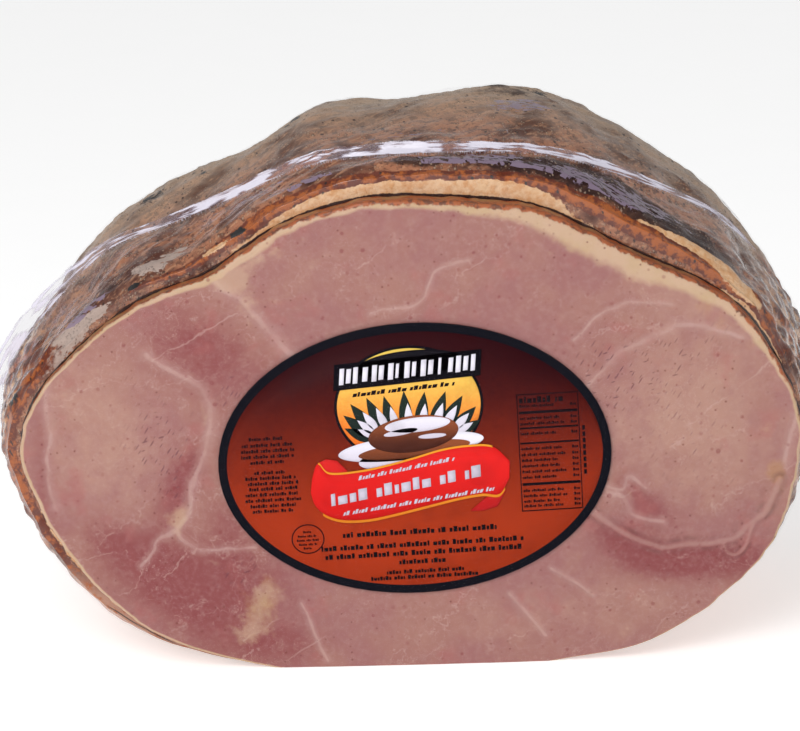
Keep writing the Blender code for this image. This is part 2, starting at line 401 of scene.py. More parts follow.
def skin_relief(along, points, fields):
    """Height in mm added to the smooth skin: lumps of four sizes, wrinkles and the net."""
    on_skin = ease((along + 0.5) / 2.5)
    above = ease((points[..., 2] - 4.0) / 16.0)
    height = 1.3 * lumps(points, 17.0, 11) * ease(along / 14.0)
    height = height + heaps(points, (0.55, 7.5, 12), (0.26, 3.6, 13))
    flow = fields["flow"] / MM
    slanted = np.stack([flow[..., 0] / 6.0, flow[..., 1] + 0.35 * flow[..., 0], flow[..., 2]], axis=-1)
    height = height + 0.42 * lumps(slanted, 2.1, 14) * ease((along - 3.0) / 9.0) * (1.0 - fields["back"])
    height = height + 0.22 * np.maximum(lumps(points, 1.7, 18), 0.0) * (1.0 + lumps(points, 14.0, 19))
    height = height + 0.5 * fields["char"] * lumps(points, 2.2, 15)
    pillow = ease(fields["net"] / 2.6) - 0.8
    height = height + 0.9 * pillow * fields["net_zone"] * (1.0 + 0.8 * lumps(points, 12.0, 20))
    cut = heaps(points, (0.35, 6.0, 16), (0.16, 2.6, 17))
    return (on_skin * height + (1.0 - on_skin) * cut) * above


def make_skin():
    """The ham behind its first slice: smooth skin, relief along the normals, flat underneath."""
    smooth_grid, around, along = skin_grid()
    fields = skin_fields(around, along, smooth_grid)
    relief = skin_relief(along, smooth_grid, fields)
    grid = smooth_grid + grid_normals(smooth_grid) * relief[..., None]
    ragged = 0.5 * lumps(smooth_grid, 5.0, 21) * bell(along, 2.5)
    grid = grid + outward(np.radians(around)) * ragged[..., None]
    grid[..., 2] = np.maximum(grid[..., 2], 0.0)
    grid[..., 1] = np.maximum(grid[..., 1], FACE_Y + FRONT)
    front_pole = np.array([0.0, FACE_Y + FRONT, AXIS_Z])
    back_pole = np.array([DRIFT, BACK_Y, AXIS_Z])
    return closed_surface("glazed_ham", grid, front_pole, back_pole, fields)


glazed_ham = make_skin()
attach(glazed_ham, "root")
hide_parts("ham_body")

# %% [markdown]
# ## The first slice
# The cut face shows how a leg is built: several muscles, each with its own pink and its own
# direction of fibres, held apart by pale seams of connective tissue, inside a rim of fat.
# Its grid runs from the label's edge to the slice's rim, because what the label covers
# needs no detail. Distances to the seams are worked out here, point by point, so that the
# material can draw them crisp.

# %% Muscles and seams of the cut face, X and Z in mm
SEAMS = {
    "upper left": (1.1, ((-62, 131), (-57, 126), (-52, 123), (-46, 115), (-39, 107), (-30, 99))),
    "left": (1.0, ((-84, 107), (-79, 103), (-70, 98), (-66, 94), (-64, 88), (-65, 80), (-66, 74), (-69, 66),
                   (-71, 58), (-74, 51), (-76, 48))),
    "left fork": (0.8, ((-76, 48), (-83, 45), (-84, 41), (-88, 36))),
    "right fork": (0.7, ((-76, 48), (-75, 45), (-69, 41), (-61, 41), (-52, 42))),
    "left rim": (0.8, ((-116, 97), (-116, 88), (-116, 78), (-116, 67), (-115, 56))),
    "bottom pale": (0.6, ((-37, 22), (-33, 11), (-29, 2))),
    "upper right": (0.8, ((53, 84), (57, 92), (59, 95), (63, 101), (67, 104), (73, 107), (79, 110), (89, 112),
                          (105, 108))),
    "right rim": (1.0, ((124, 88), (123, 80), (121, 73), (119, 66))),
    "right vein": (0.9, ((63, 57), (67, 56), (70, 50), (75, 48), (80, 47))),
    "right vein 2": (0.7, ((60, 60), (67, 58), (70, 62), (75, 58))),
    "top vein": (0.5, ((52, 108), (60, 116), (70, 119), (84, 118))),
    "top vein 2": (0.5, ((-12, 118), (4, 122), (9, 131), (20, 134))),
    "bottom vein": (0.6, ((30, 24), (36, 17), (42, 9))),
    "bottom vein 2": (0.5, ((44, 32), (52, 27), (58, 22))),
}
FOLD = (
    (56, 52), (64, 46), (70, 42), (77, 39), (81, 38), (88, 39), (95, 39), (100, 40), (104, 41),
    (108, 45), (113, 49), (116, 55), (118, 60),
)
FOLD_FLAP = ((100, 39), (101, 36), (104, 35), (107, 38), (109, 44), (111, 48))
LABEL_CENTRE = np.array([1.0, 70.0])
LABEL_WIDE, LABEL_HIGH = 126.0, 90.0
LABEL_TILT = math.radians(2.0)


def distance_to_route(across, above, route):
    """Shortest distance in mm from each point to a run of straight stretches."""
    nearest = np.full(across.shape, 999.0)
    for (x0, z0), (x1, z1) in zip(route, route[1:]):
        length = math.hypot(x1 - x0, z1 - z0)
        share = np.clip(((across - x0) * (x1 - x0) + (above - z0) * (z1 - z0)) / length ** 2, 0.0, 1.0)
        gap = np.hypot(across - x0 - share * (x1 - x0), above - z0 - share * (z1 - z0))
        nearest = np.minimum(nearest, gap)
    return nearest


def smooth_route(route, steps=6):
    """The route with rounded corners: an open curve through its points."""
    route = np.asarray(route, float)
    ends = np.concatenate([[2 * route[0] - route[1]], route, [2 * route[-1] - route[-2]]])
    return np.concatenate(spans(ends, ends[1:], ends[2:], ends[3:], steps) + [route[-1:]])

# %% [markdown]
# Each muscle's own tone is a few soft patches: deep rose, pale beige, islands of fat, tan
# stains, and the places where fibres end in small dark splits.

# %% Patches of tone on the cut face
def patches(across, above, marks):
    """Soft oval patches added up: centre X and Z, two spreads, a turn in degrees, a strength."""
    total = np.zeros(across.shape)
    for x, z, wide, high, turn, strength in marks:
        c, s = math.cos(math.radians(turn)), math.sin(math.radians(turn))
        u = (across - x) * c + (above - z) * s
        v = (above - z) * c - (across - x) * s
        total += strength * np.exp(-0.5 * ((u / wide) ** 2 + (v / high) ** 2))
    return total


MEAT_MARKS = {
    "deep": (
        (-66, 108, 11, 16, 55, 0.75), (-74, 64, 4.5, 11, -22, 0.85), (-75, 26, 24, 11, -35, 0.8),
        (-56, 32, 14, 9, 0, 0.5), (-60, 50, 5, 8, 0, 0.45), (-118, 72, 3, 22, 0, 0.5),
        (88, 33, 17, 5, 0, 1), (66, 41, 9, 4, -28, 0.75), (77, 50, 7, 4.5, -20, 0.75),
        (70, 60, 5, 4, -30, 0.55), (63, 101, 6, 7, 45, 0.4), (112, 84, 6, 12, -20, 0.35),
        (-45, 8, 12, 6, 0, 0.45), (-20, 60, 40, 40, 0, 0.2), (115, 33, 12, 10, 45, 0.35),
        (-93, 42, 12, 6, -30, 0.4),
    ),
    "pale": (
        (92, 82, 26, 22, 0, 0.75), (-100, 80, 16, 22, 20, 0.65), (60, 20, 30, 10, 0, 0.35),
        (0, 130, 40, 14, 0, 0.25), (84, 128, 22, 8, -35, 0.5), (20, 12, 30, 8, 0, 0.2),
    ),
    "fat": (
        (-56, 130, 7, 3.2, -38, 0.95), (-48, 136, 9, 2.5, 28, 0.7), (-75, 51, 2.2, 3.6, -15, 0.8),
        (-50, 20, 4.5, 9, -25, 0.75), (113, 76, 3.5, 1.6, 40, 0.35), (66, 58, 4, 2, -30, 0.4),
        (-66, 86, 1.6, 4, 0, 0.6), (-37, 128, 10, 1.6, 40, 0.35),
    ),
    "tan": (
        (117, 62, 2.6, 5.5, 8, 1), (-50, 22, 5, 8, -25, 0.7), (105, 114, 16, 6, -40, 0.5),
        (70, 133, 18, 5, -25, 0.4),
    ),
    "fibre": (
        (-80, 76, 10, 8, 30, 1), (-88, 96, 16, 10, 0, 0.55), (-56, 95, 6, 7, 0, 0.8),
        (-57, 33, 10, 5, 20, 0.9), (60, 97, 8, 9, 40, 0.9), (88, 72, 22, 20, 20, 0.7),
        (75, 100, 16, 8, 10, 0.6), (-74, 60, 8, 10, 30, 0.6), (97, 112, 12, 8, 0, 0.35),
        (76, 30, 10, 3, -20, 0.6),
    ),
}

# %% [markdown]
# The fat rim is told by the distance in from the slice's edge. It is a thread on the left,
# a few millimetres at the top and a broad cream band on the upper right, so its width is
# read off between a few angles.

# %% The slice's grid
FAT_ANGLES = (
    -60, -20, 10, 25, 38, 50, 62, 74, 85, 97, 110, 122, 135, 150, 165, 185, 215, 250, 280, 300,
)
FAT_WIDTHS = (
    0.6, 0.8, 1.8, 5, 9.5, 9, 7, 4.6, 3.4, 3.2, 2.4, 3.6, 3.4, 1.6, 1.2, 1.6, 1.2, 0.8, 0.8, 0.6,
)
SLICE_COLUMNS = 880
FACE_ROWS = 84
RIM_ROUNDING = 1.3
SIDE_DEPTHS = np.array([[2.6], [4.2], [5.8], [6.8]])
UNDER_LABEL = 0.93


def label_radius(angles):
    """Distance from the long axis to a slightly smaller oval than the label's."""
    turn = np.radians(angles) - LABEL_TILT
    wide, high = UNDER_LABEL * LABEL_WIDE / 2.0, UNDER_LABEL * LABEL_HIGH / 2.0
    return wide * high / np.hypot(high * np.cos(turn), wide * np.sin(turn))

# %% [markdown]
# As for the skin, the fields come first and the relief follows them: seams sink, the fold
# stands up and the muscles between them swell a little.

# %% Fields and relief of the cut face
def slice_fields(across, above, angles, inward):
    """What the meat's material needs to know at each point of the face."""
    points = np.stack([across, np.zeros_like(across), above], axis=-1)
    wander = heaps(points, (0.9, 9.0, 31), (0.35, 3.0, 32))
    seam = np.full(across.shape, 9.0)
    for width, route in SEAMS.values():
        gap = distance_to_route(across + wander, above - wander, smooth_route(route))
        seam = np.minimum(seam, gap / width)
    fold = distance_to_route(across, above, smooth_route(FOLD))
    flap = distance_to_route(across, above, smooth_route(FOLD_FLAP))
    width = np.interp(angles, FAT_ANGLES, FAT_WIDTHS, period=360.0)
    stain = 0.4 + 1.8 * bell(wrap_degrees(angles - 78.0), 34.0) + bell(wrap_degrees(angles - 22.0), 10.0)
    return {
        "seam": seam,
        "fold": np.minimum(fold, 1.6 * flap),
        "fat_rim": (width - inward) / np.maximum(width, 1.0),
        "stain": stain - inward,
        **{name: patches(across, above, marks) for name, marks in MEAT_MARKS.items()},
    }


def slice_relief(across, above, fields):
    """Height in mm that the face stands forward: pillowed muscles, sunk seams, one raised fold."""
    points = np.stack([across, np.zeros_like(across), above], axis=-1)
    height = heaps(points, (0.22, 22.0, 41), (0.10, 8.0, 42), (0.05, 3.0, 43))
    height = height - 0.30 * bell(fields["seam"], 1.1)
    height = height + 0.45 * bell(fields["fold"], 1.1) - 0.35 * bell(fields["fold"] - 2.4, 0.8)
    height = height - 0.25 * np.clip(fields["deep"], 0.0, 1.0) + 0.15 * np.clip(fields["fat_rim"], 0.0, 1.0)
    tilt_across = (across - LABEL_CENTRE[0]) / (LABEL_WIDE / 2.0 + 2.0)
    tilt_above = (above - LABEL_CENTRE[1]) / (LABEL_HIGH / 2.0 + 2.0)
    clear = ease((np.hypot(tilt_across, tilt_above) - 1.0) / 0.12)
    return height * clear

# %% [markdown]
# The rings of the slice run from under the label to the rim, round its worn edge, back along
# its side and in again behind.

# %% The slice itself
def make_slice():
    """The first slice: a detailed face, a worn rim, a plain side and back."""
    angles = np.linspace(0.0, 360.0, SLICE_COLUMNS, endpoint=False)
    turn = np.radians(angles)
    rim_points = outward(turn) * outline_radius(angles)[:, None]
    ragged = heaps(rim_points, (0.45, 5.0, 51), (0.2, 2.0, 52))
    rim = outline_radius(angles) + ragged * ease((rim_points[:, 2] + AXIS_Z - 6.0) / 12.0)
    share = np.linspace(0.0, 1.0, FACE_ROWS)[:, None]
    start = label_radius(angles)
    radius = start + (rim - RIM_ROUNDING - start) * share
    depth = np.zeros_like(radius)
    bend = np.linspace(0.0, math.pi / 2.0, 6)[1:, None]
    worn = rim - RIM_ROUNDING * (1.0 - np.sin(bend))
    side = np.repeat(rim[None], len(SIDE_DEPTHS), axis=0)
    back = np.stack([rim - 0.3, rim * 0.6, rim * 0.2])
    radius = np.concatenate([radius, worn, side, back])
    behind = [RIM_ROUNDING * (1.0 - np.cos(bend)), SIDE_DEPTHS, np.full((len(back), 1), SLICE_THICK)]
    depth = np.concatenate([depth, np.concatenate(behind) * np.ones((1, SLICE_COLUMNS))])
    across = radius * np.cos(turn)
    above = AXIS_Z + radius * np.sin(turn)
    inward = np.maximum(rim - radius, 0.0) - np.minimum(depth, 6.0) * 0.35
    fields = slice_fields(across, above, np.broadcast_to(angles, across.shape), inward)
    facing = ease(1.0 - depth / 1.5)
    relief = slice_relief(across, above, fields) * facing * ease((inward - 0.2) / 1.5 + 0.2)
    fields["depth"] = depth
    grid = np.stack([across, FACE_Y + depth - relief, np.maximum(above, 0.0)], axis=-1)
    front_pole = np.array([0.0, FACE_Y, AXIS_Z])
    back_pole = np.array([0.0, FACE_Y + SLICE_THICK, AXIS_Z])
    return closed_surface("first_slice", grid, front_pole, back_pole, fields)


first_slice = make_slice()
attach(first_slice, "root")
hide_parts("front_slice")

# %% [markdown]
# ## Finishes
# A shader is a chain of small steps, so a few short helpers keep each material readable.
# They all add to the tree that lies on the bench, which a new finish or group puts there.

# %% Helpers for node trees
def tint(red, green, blue):
    """A colour told as usual 0-255 values, made linear as Blender wants it."""
    def linear(value):
        value = value / 255.0
        return value / 12.92 if value <= 0.04045 else ((value + 0.055) / 1.055) ** 2.4
    return (linear(red), linear(green), linear(blue), 1.0)


class Bench:
    """Holds the node tree that is being built. All helpers below add their nodes to it."""

    tree = None


def put(socket, value):
    """Give an input a link, or its own value."""
    if isinstance(value, bpy.types.NodeSocket):
        Bench.tree.links.new(value, socket)
    else:
        socket.default_value = value


def node(kind, inputs=(), **settings):
    """A new node with its settings, and its inputs linked or set, by name or in order."""
    made = Bench.tree.nodes.new(kind)
    for key, value in settings.items():
        setattr(made, key, value)
    pairs = inputs.items() if isinstance(inputs, dict) else enumerate(inputs)
    for key, value in pairs:
        put(made.inputs[key], value)
    return made


def calc(operation, *values):
    """A Math node's result."""
    return node("ShaderNodeMath", values, operation=operation).outputs[0]


def add(one, other):
    """The sum of two numbers."""
    return calc("ADD", one, other)


def larger(one, other):
    """The larger of two numbers."""
    return calc("MAXIMUM", one, other)


def rest_of(share):
    """What a share leaves of 1."""
    return calc("SUBTRACT", 1.0, share)


def off_middle(value):
    """How far a value between 0 and 1 is above its middle."""
    return calc("SUBTRACT", value, 0.5)


def blend(mask, under, over):
    """`under` where the mask is 0, `over` where it is 1."""
    made = node("ShaderNodeMix", {0: mask, 6: under, 7: over}, data_type="RGBA", clamp_factor=True)
    return made.outputs[2]


def smooth_step(value, low, high):
    """0 at `low`, 1 at `high`, smooth between and level outside."""
    values = {0: value, 1: low, 2: high}
    return node("ShaderNodeMapRange", values, interpolation_type="SMOOTHSTEP").outputs[0]


def window(value, low, high):
    """0 below `low`, 1 above `high`, smooth between; the other way round if low > high."""
    if low > high:
        return rest_of(window(value, high, low))
    return smooth_step(value, low, high)


def noise(where, size_mm, detail=3.0, roughness=0.55):
    """Noise between 0 and 1 with features about `size_mm` across."""
    values = {"Vector": where, "Scale": 1.0 / (size_mm * MM), "Detail": detail, "Roughness": roughness}
    return node("ShaderNodeTexNoise", values).outputs[0]


def stretched(where, longer, turn=(0.0, 0.0, 0.0)):
    """Coordinates on which a pattern comes out that many times longer along each turned axis."""
    values = {"Vector": where, "Rotation": turn, "Scale": longer}
    return node("ShaderNodeMapping", values, vector_type="TEXTURE").outputs[0]


def field(name, output="Fac"):
    """A number (or a vector) that travels with the mesh."""
    return node("ShaderNodeAttribute", attribute_name=name).outputs[output]


def here():
    """The place on the piece, in metres."""
    return node("ShaderNodeTexCoord").outputs["Object"]


def times(*values):
    """The product of several numbers."""
    total = values[0]
    for value in values[1:]:
        total = calc("MULTIPLY", total, value)
    return total


def bumped(strength, distance, height):
    """The surface's direction, tipped by the slope of a height that is `distance` metres at 1."""
    values = {"Strength": strength, "Distance": distance, "Height": height}
    return node("ShaderNodeBump", values).outputs[0]

# %% [markdown]
# Three effects are needed by more than one finish, and each is a node group: a ragged mask
# that turns a soft field into a torn edge, speckles, and the fine ripple of tight film.

# %% Node groups shared by the finishes
def new_group(name, inputs, output):
    """An empty node group with a Vector and named numbers as inputs, and one named output."""
    group = Bench.tree = bpy.data.node_groups.new(name, "ShaderNodeTree")
    group.interface.new_socket(name="Vector", in_out="INPUT", socket_type="NodeSocketVector")
    for label, value in inputs.items():
        socket = group.interface.new_socket(name=label, in_out="INPUT", socket_type="NodeSocketFloat")
        socket.default_value = value
    group.interface.new_socket(name=output, in_out="OUTPUT", socket_type="NodeSocketFloat")
    return group, group.nodes.new("NodeGroupInput").outputs, group.nodes.new("NodeGroupOutput").inputs


def make_ragged_edge():
    """Mask = smoothstep of (field + raggedness * noise) round a threshold."""
    inputs = {"Field": 0.0, "Threshold": 0.5, "Raggedness": 0.6, "Grain in mm": 3.0, "Softness": 0.04}
    group, given, result = new_group("Ragged edge", inputs, "Mask")
    scale = calc("DIVIDE", 1.0 / MM, given["Grain in mm"])
    values = {"Vector": given["Vector"], "Scale": scale, "Detail": 3.0, "Roughness": 0.66}
    grain = node("ShaderNodeTexNoise", values).outputs[0]
    tear = times(off_middle(grain), given["Raggedness"])
    total = add(given["Field"], tear)
    low = calc("SUBTRACT", given["Threshold"], given["Softness"])
    high = add(given["Threshold"], given["Softness"])
    put(result[0], smooth_step(total, low, high))
    return group


def make_speckles():
    """Mask = small round dots in some cells of a flat Voronoi pattern, read on X and Y."""
    inputs = {"Spacing in mm": 3.0, "Share": 0.3, "Dot size": 0.18}
    group, given, result = new_group("Speckles", inputs, "Mask")
    scale = calc("DIVIDE", 1.0 / MM, given["Spacing in mm"])
    values = {"Vector": given["Vector"], "Scale": scale}
    cells = node("ShaderNodeTexVoronoi", values, voronoi_dimensions="2D")
    pick = node("ShaderNodeSeparateColor", [cells.outputs["Color"]])
    chosen = calc("LESS_THAN", pick.outputs[0], given["Share"])
    size = times(given["Dot size"], add(0.4, pick.outputs[1]))
    put(result[0], times(chosen, smooth_step(cells.outputs["Distance"], size, times(size, 0.5))))
    return group


def make_film_ripple():
    """Height = a soft ripple plus a finer one, as in thin film drawn tight over something wet."""
    inputs = {"Size in mm": 6.0}
    group, given, result = new_group("Film ripple", inputs, "Height")
    scale = calc("DIVIDE", 1.0 / MM, given["Size in mm"])
    values = {"Vector": given["Vector"], "Scale": scale, "Detail": 2.0}
    broad = node("ShaderNodeTexNoise", values).outputs[0]
    fine = node("ShaderNodeTexNoise", {**values, "Scale": times(scale, 3.1)}).outputs[0]
    put(result[0], add(broad, times(fine, 0.25)))
    return group

# %% [markdown]
# The groups are made once. A finish calls them by short names, starts from an empty shader
# and ends by setting that shader's own inputs.

# %% Groups put to use, and new finishes
RAGGED_EDGE = make_ragged_edge()
SPECKLES = make_speckles()
FILM_RIPPLE = make_film_ripple()


def placed(group, inputs):
    """A node group put into a material, with its inputs linked or set; returns its output."""
    return node("ShaderNodeGroup", inputs, node_tree=group).outputs[0]


def torn(where, value, threshold=0.5, raggedness=0.6, grain=3.0, softness=0.04):
    """The ragged edge group with its inputs in order."""
    inputs = {"Vector": where, "Field": value, "Threshold": threshold, "Raggedness": raggedness,
              "Grain in mm": grain, "Softness": softness}
    return placed(RAGGED_EDGE, inputs)


def specks(where, spacing, share, size=0.18):
    """The speckles group with its inputs in order."""
    return placed(SPECKLES, {"Vector": where, "Spacing in mm": spacing, "Share": share, "Dot size": size})


def new_finish(name):
    """A material and its Principled shader, with its tree put on the bench."""
    made = bpy.data.materials.new(name)
    made.use_nodes = True
    Bench.tree = made.node_tree
    return made, made.node_tree.nodes["Principled BSDF"]


def set_sockets(shader, values):
    """Links and plain values for the shader's own inputs."""
    for name, value in values.items():
        put(shader.inputs[name], value)


def finish_with(piece, material):
    """Put one material on a piece, instead of any that it has."""
    piece.data.materials.clear()
    piece.data.materials.append(material)

# %% [markdown]
# ### Glazed skin
# Burnt sugar is not one brown. It is thin and orange where the fat shows through near the
# cut, dark and wet over most of the top, and black where it scorched. Over the upper skin a
# pale tan haze is painted in, for the white surroundings mirrored in the film. Each of those
# is a field on the mesh, torn at its edge by noise.

# %% Glazed skin
BROWN_DEEP = tint(84, 42, 28)
BROWN_MID = tint(166, 107, 76)
BROWN_LIGHT = tint(196, 143, 108)
# colour of the painted haze: the white surroundings mirrored in the film
PAINTED_HAZE_TAN = tint(186, 164, 140)
NEAR_BLACK = tint(38, 14, 10)
RUST = tint(100, 38, 14)
AMBER = tint(166, 86, 28)
CREAM = tint(222, 182, 142)
CREAM_DARK = tint(206, 150, 100)
CHAR = tint(20, 18, 20)
# colour of the painted shadow in the gap round the slice's rim
CRACK_SHADE = tint(44, 16, 10)
DRY_GREY = tint(182, 162, 152)
# pale pimples: partly the skin's own pale bumps, partly painted glints of light
PALE_PIMPLE_AND_GLINT = tint(200, 170, 146)
UNDER_PINK = tint(176, 128, 104)

# %% [markdown]
# The real layers go on in the order in which they came about: browned skin, dark wet glaze,
# net, fat at the cut and the burnt spots. Two layers of painted light lie among them: a pale
# haze for the white surroundings mirrored in the film, just after the browned skin, and last
# the crack's painted shadow. The coat is wet only where nothing is dry.

# %% The skin's layers
def make_skin_finish():
    """Layers of colour from the fields, a wet coat, and a bump for pits and film."""
    made, shader = new_finish("glazed skin")
    where = here()
    flow = field("flow", "Vector")
    streaks = noise(stretched(where, (6.0, 1.0, 1.0), (0.0, -0.3, 0.6)), 1.5, 3.0)
    front = rest_of(field("back"))
    broad = noise(where, 15.0, 3.0)
    fine = noise(where, 2.4, 3.0, 0.65)
    colour = blend(window(broad, 0.38, 0.60), BROWN_DEEP, BROWN_MID)
    colour = blend(times(window(streaks, 0.48, 0.70), 0.6), colour, BROWN_LIGHT)
    colour = blend(times(window(fine, 0.50, 0.60), 0.75), colour, BROWN_DEEP)
    # A painted haze: the upper skin turns pale tan where the film mirrors the white surroundings.
    painted_haze = times(field("painted_haze"), window(broad, 0.14, 0.56))
    colour = blend(times(painted_haze, 0.78), colour, PAINTED_HAZE_TAN)
    dark = torn(where, field("dark"), 0.50, 0.9, 7.0, 0.14)
    colour = blend(times(dark, 0.88), colour, NEAR_BLACK)
    colour = blend(times(specks(flow, 3.4, 0.22, 0.20), front, 0.85), colour, NEAR_BLACK)
    # Pale pimples on the front skin: the bumps are real shape, their pale colour is partly painted glints.
    pimples_and_glints = specks(flow, 1.5, 0.70, 0.30)
    pimples_and_glints = times(pimples_and_glints, front, window(noise(flow, 8.0, 2.0), 0.44, 0.56))
    colour = blend(times(pimples_and_glints, 0.45), colour, PALE_PIMPLE_AND_GLINT)
    drawn = stretched(flow, (2.4, 1.0, 1.0), (0.0, 0.0, 0.25))
    grey = torn(drawn, field("grey"), 0.5, 1.3, 2.4, 0.03)
    colour = blend(times(grey, 0.92), colour, DRY_GREY)
    ripe = add(times(field("amber"), 0.35), add(times(fine, 1.6), times(broad, 0.8)))
    amber_tone = blend(window(ripe, 1.38, 1.74), RUST, AMBER)
    amber = torn(where, field("amber"), 0.5, 0.8, 3.4, 0.10)
    colour = blend(amber, colour, amber_tone)
    cells = window(add(field("net"), times(off_middle(fine), 5.0)), 0.7, 2.2)
    in_cell = blend(window(fine, 0.35, 0.60), RUST, BROWN_DEEP)
    ridge_tone = blend(window(broad, 0.42, 0.56), AMBER, CREAM_DARK)
    ridge_tone = blend(times(window(streaks, 0.50, 0.62), 0.7), ridge_tone, RUST)
    net_colour = blend(cells, ridge_tone, in_cell)
    net_zone = torn(where, field("net_zone"), 0.55, 1.4, 14.0, 0.3)
    colour = blend(net_zone, colour, net_colour)
    under = torn(where, field("under"), 0.5, 0.5, 14.0, 0.25)
    colour = blend(under, colour, blend(window(fine, 0.45, 0.7), UNDER_PINK, AMBER))
    cream = torn(where, field("cream"), 0.85, 0.9, 3.0, 0.06)
    colour = blend(cream, colour, blend(window(fine, 0.35, 0.7), CREAM, CREAM_DARK))
    dots = times(specks(flow, 3.6, 0.30, 0.17), larger(amber, net_zone))
    colour = blend(times(dots, 0.85), colour, CHAR)
    char = torn(where, field("char"), 0.6, 0.9, 2.2, 0.08)
    colour = blend(char, colour, CHAR)
    # A painted shadow: the skin's cut band darkens just outside the slice's rim, in the gap between them.
    crack_shade_at = rest_of(times(field("over_slice"), 0.85))
    colour = blend(torn(where, crack_shade_at, 0.5, 0.9, 3.0, 0.12), colour, CRACK_SHADE)
    # The painted haze counts as dry, so the coat is thin under it.
    dry = larger(grey, painted_haze)
    wet = times(rest_of(times(dry, 0.85)), rest_of(times(dark, 0.65)))
    ripple = placed(FILM_RIPPLE, {"Vector": where, "Size in mm": 3.4})
    height = add(times(ripple, 0.45), times(fine, 0.60))
    smooth_band = larger(field("cream"), field("amber"))
    plain = window(smooth_band, 0.6, 0.3)
    height = add(height, times(pimples_and_glints, plain, 0.8))
    set_sockets(shader, {
        "Base Color": colour, "Roughness": add(0.45, times(fine, 0.25)), "Specular IOR Level": 0.3,
        "Coat Weight": times(wet, window(broad, 0.28, 0.48), 0.95), "Coat Roughness": 0.08,
        "Normal": bumped(0.8, 0.0012, height),
    })
    return made


finish_with(glazed_ham, make_skin_finish())

# %% [markdown]
# ### Cut meat
# Cured ham is a translucent pink that runs from rose to beige. What makes it read as meat is
# small: pale seams between muscles, short dark splits along the fibres, rust specks where
# spice sits, and a slight wet shine.

# %% Cut meat
PINK = tint(152, 100, 97)
PINK_WARM = tint(158, 109, 99)
ROSE = tint(132, 60, 62)
BEIGE = tint(174, 131, 116)
BLUSH = tint(166, 94, 90)
SEAM_PALE = tint(196, 162, 154)
TAN = tint(170, 122, 78)
FAT_CREAM = tint(198, 166, 138)
FAT_YELLOW = tint(192, 162, 126)
FOLD_PALE = tint(184, 148, 138)
FOLD_SHADE = tint(104, 62, 58)
STAIN = tint(164, 78, 26)
STAIN_DARK = tint(92, 34, 12)
SPLIT_DARK = tint(92, 42, 54)
SPECK_RUST = tint(104, 36, 26)
SPECK_RED = tint(128, 48, 50)
FIBRE_LEAN = 1.0
BUNDLE_SIZE = 19.0
CROSS_LEAN = 0.25

# %% [markdown]
# Each line lays one more tone over the colour so far, through a mask of its own: first the
# broad pinks, then seams and fat, then the smallest splits and specks.

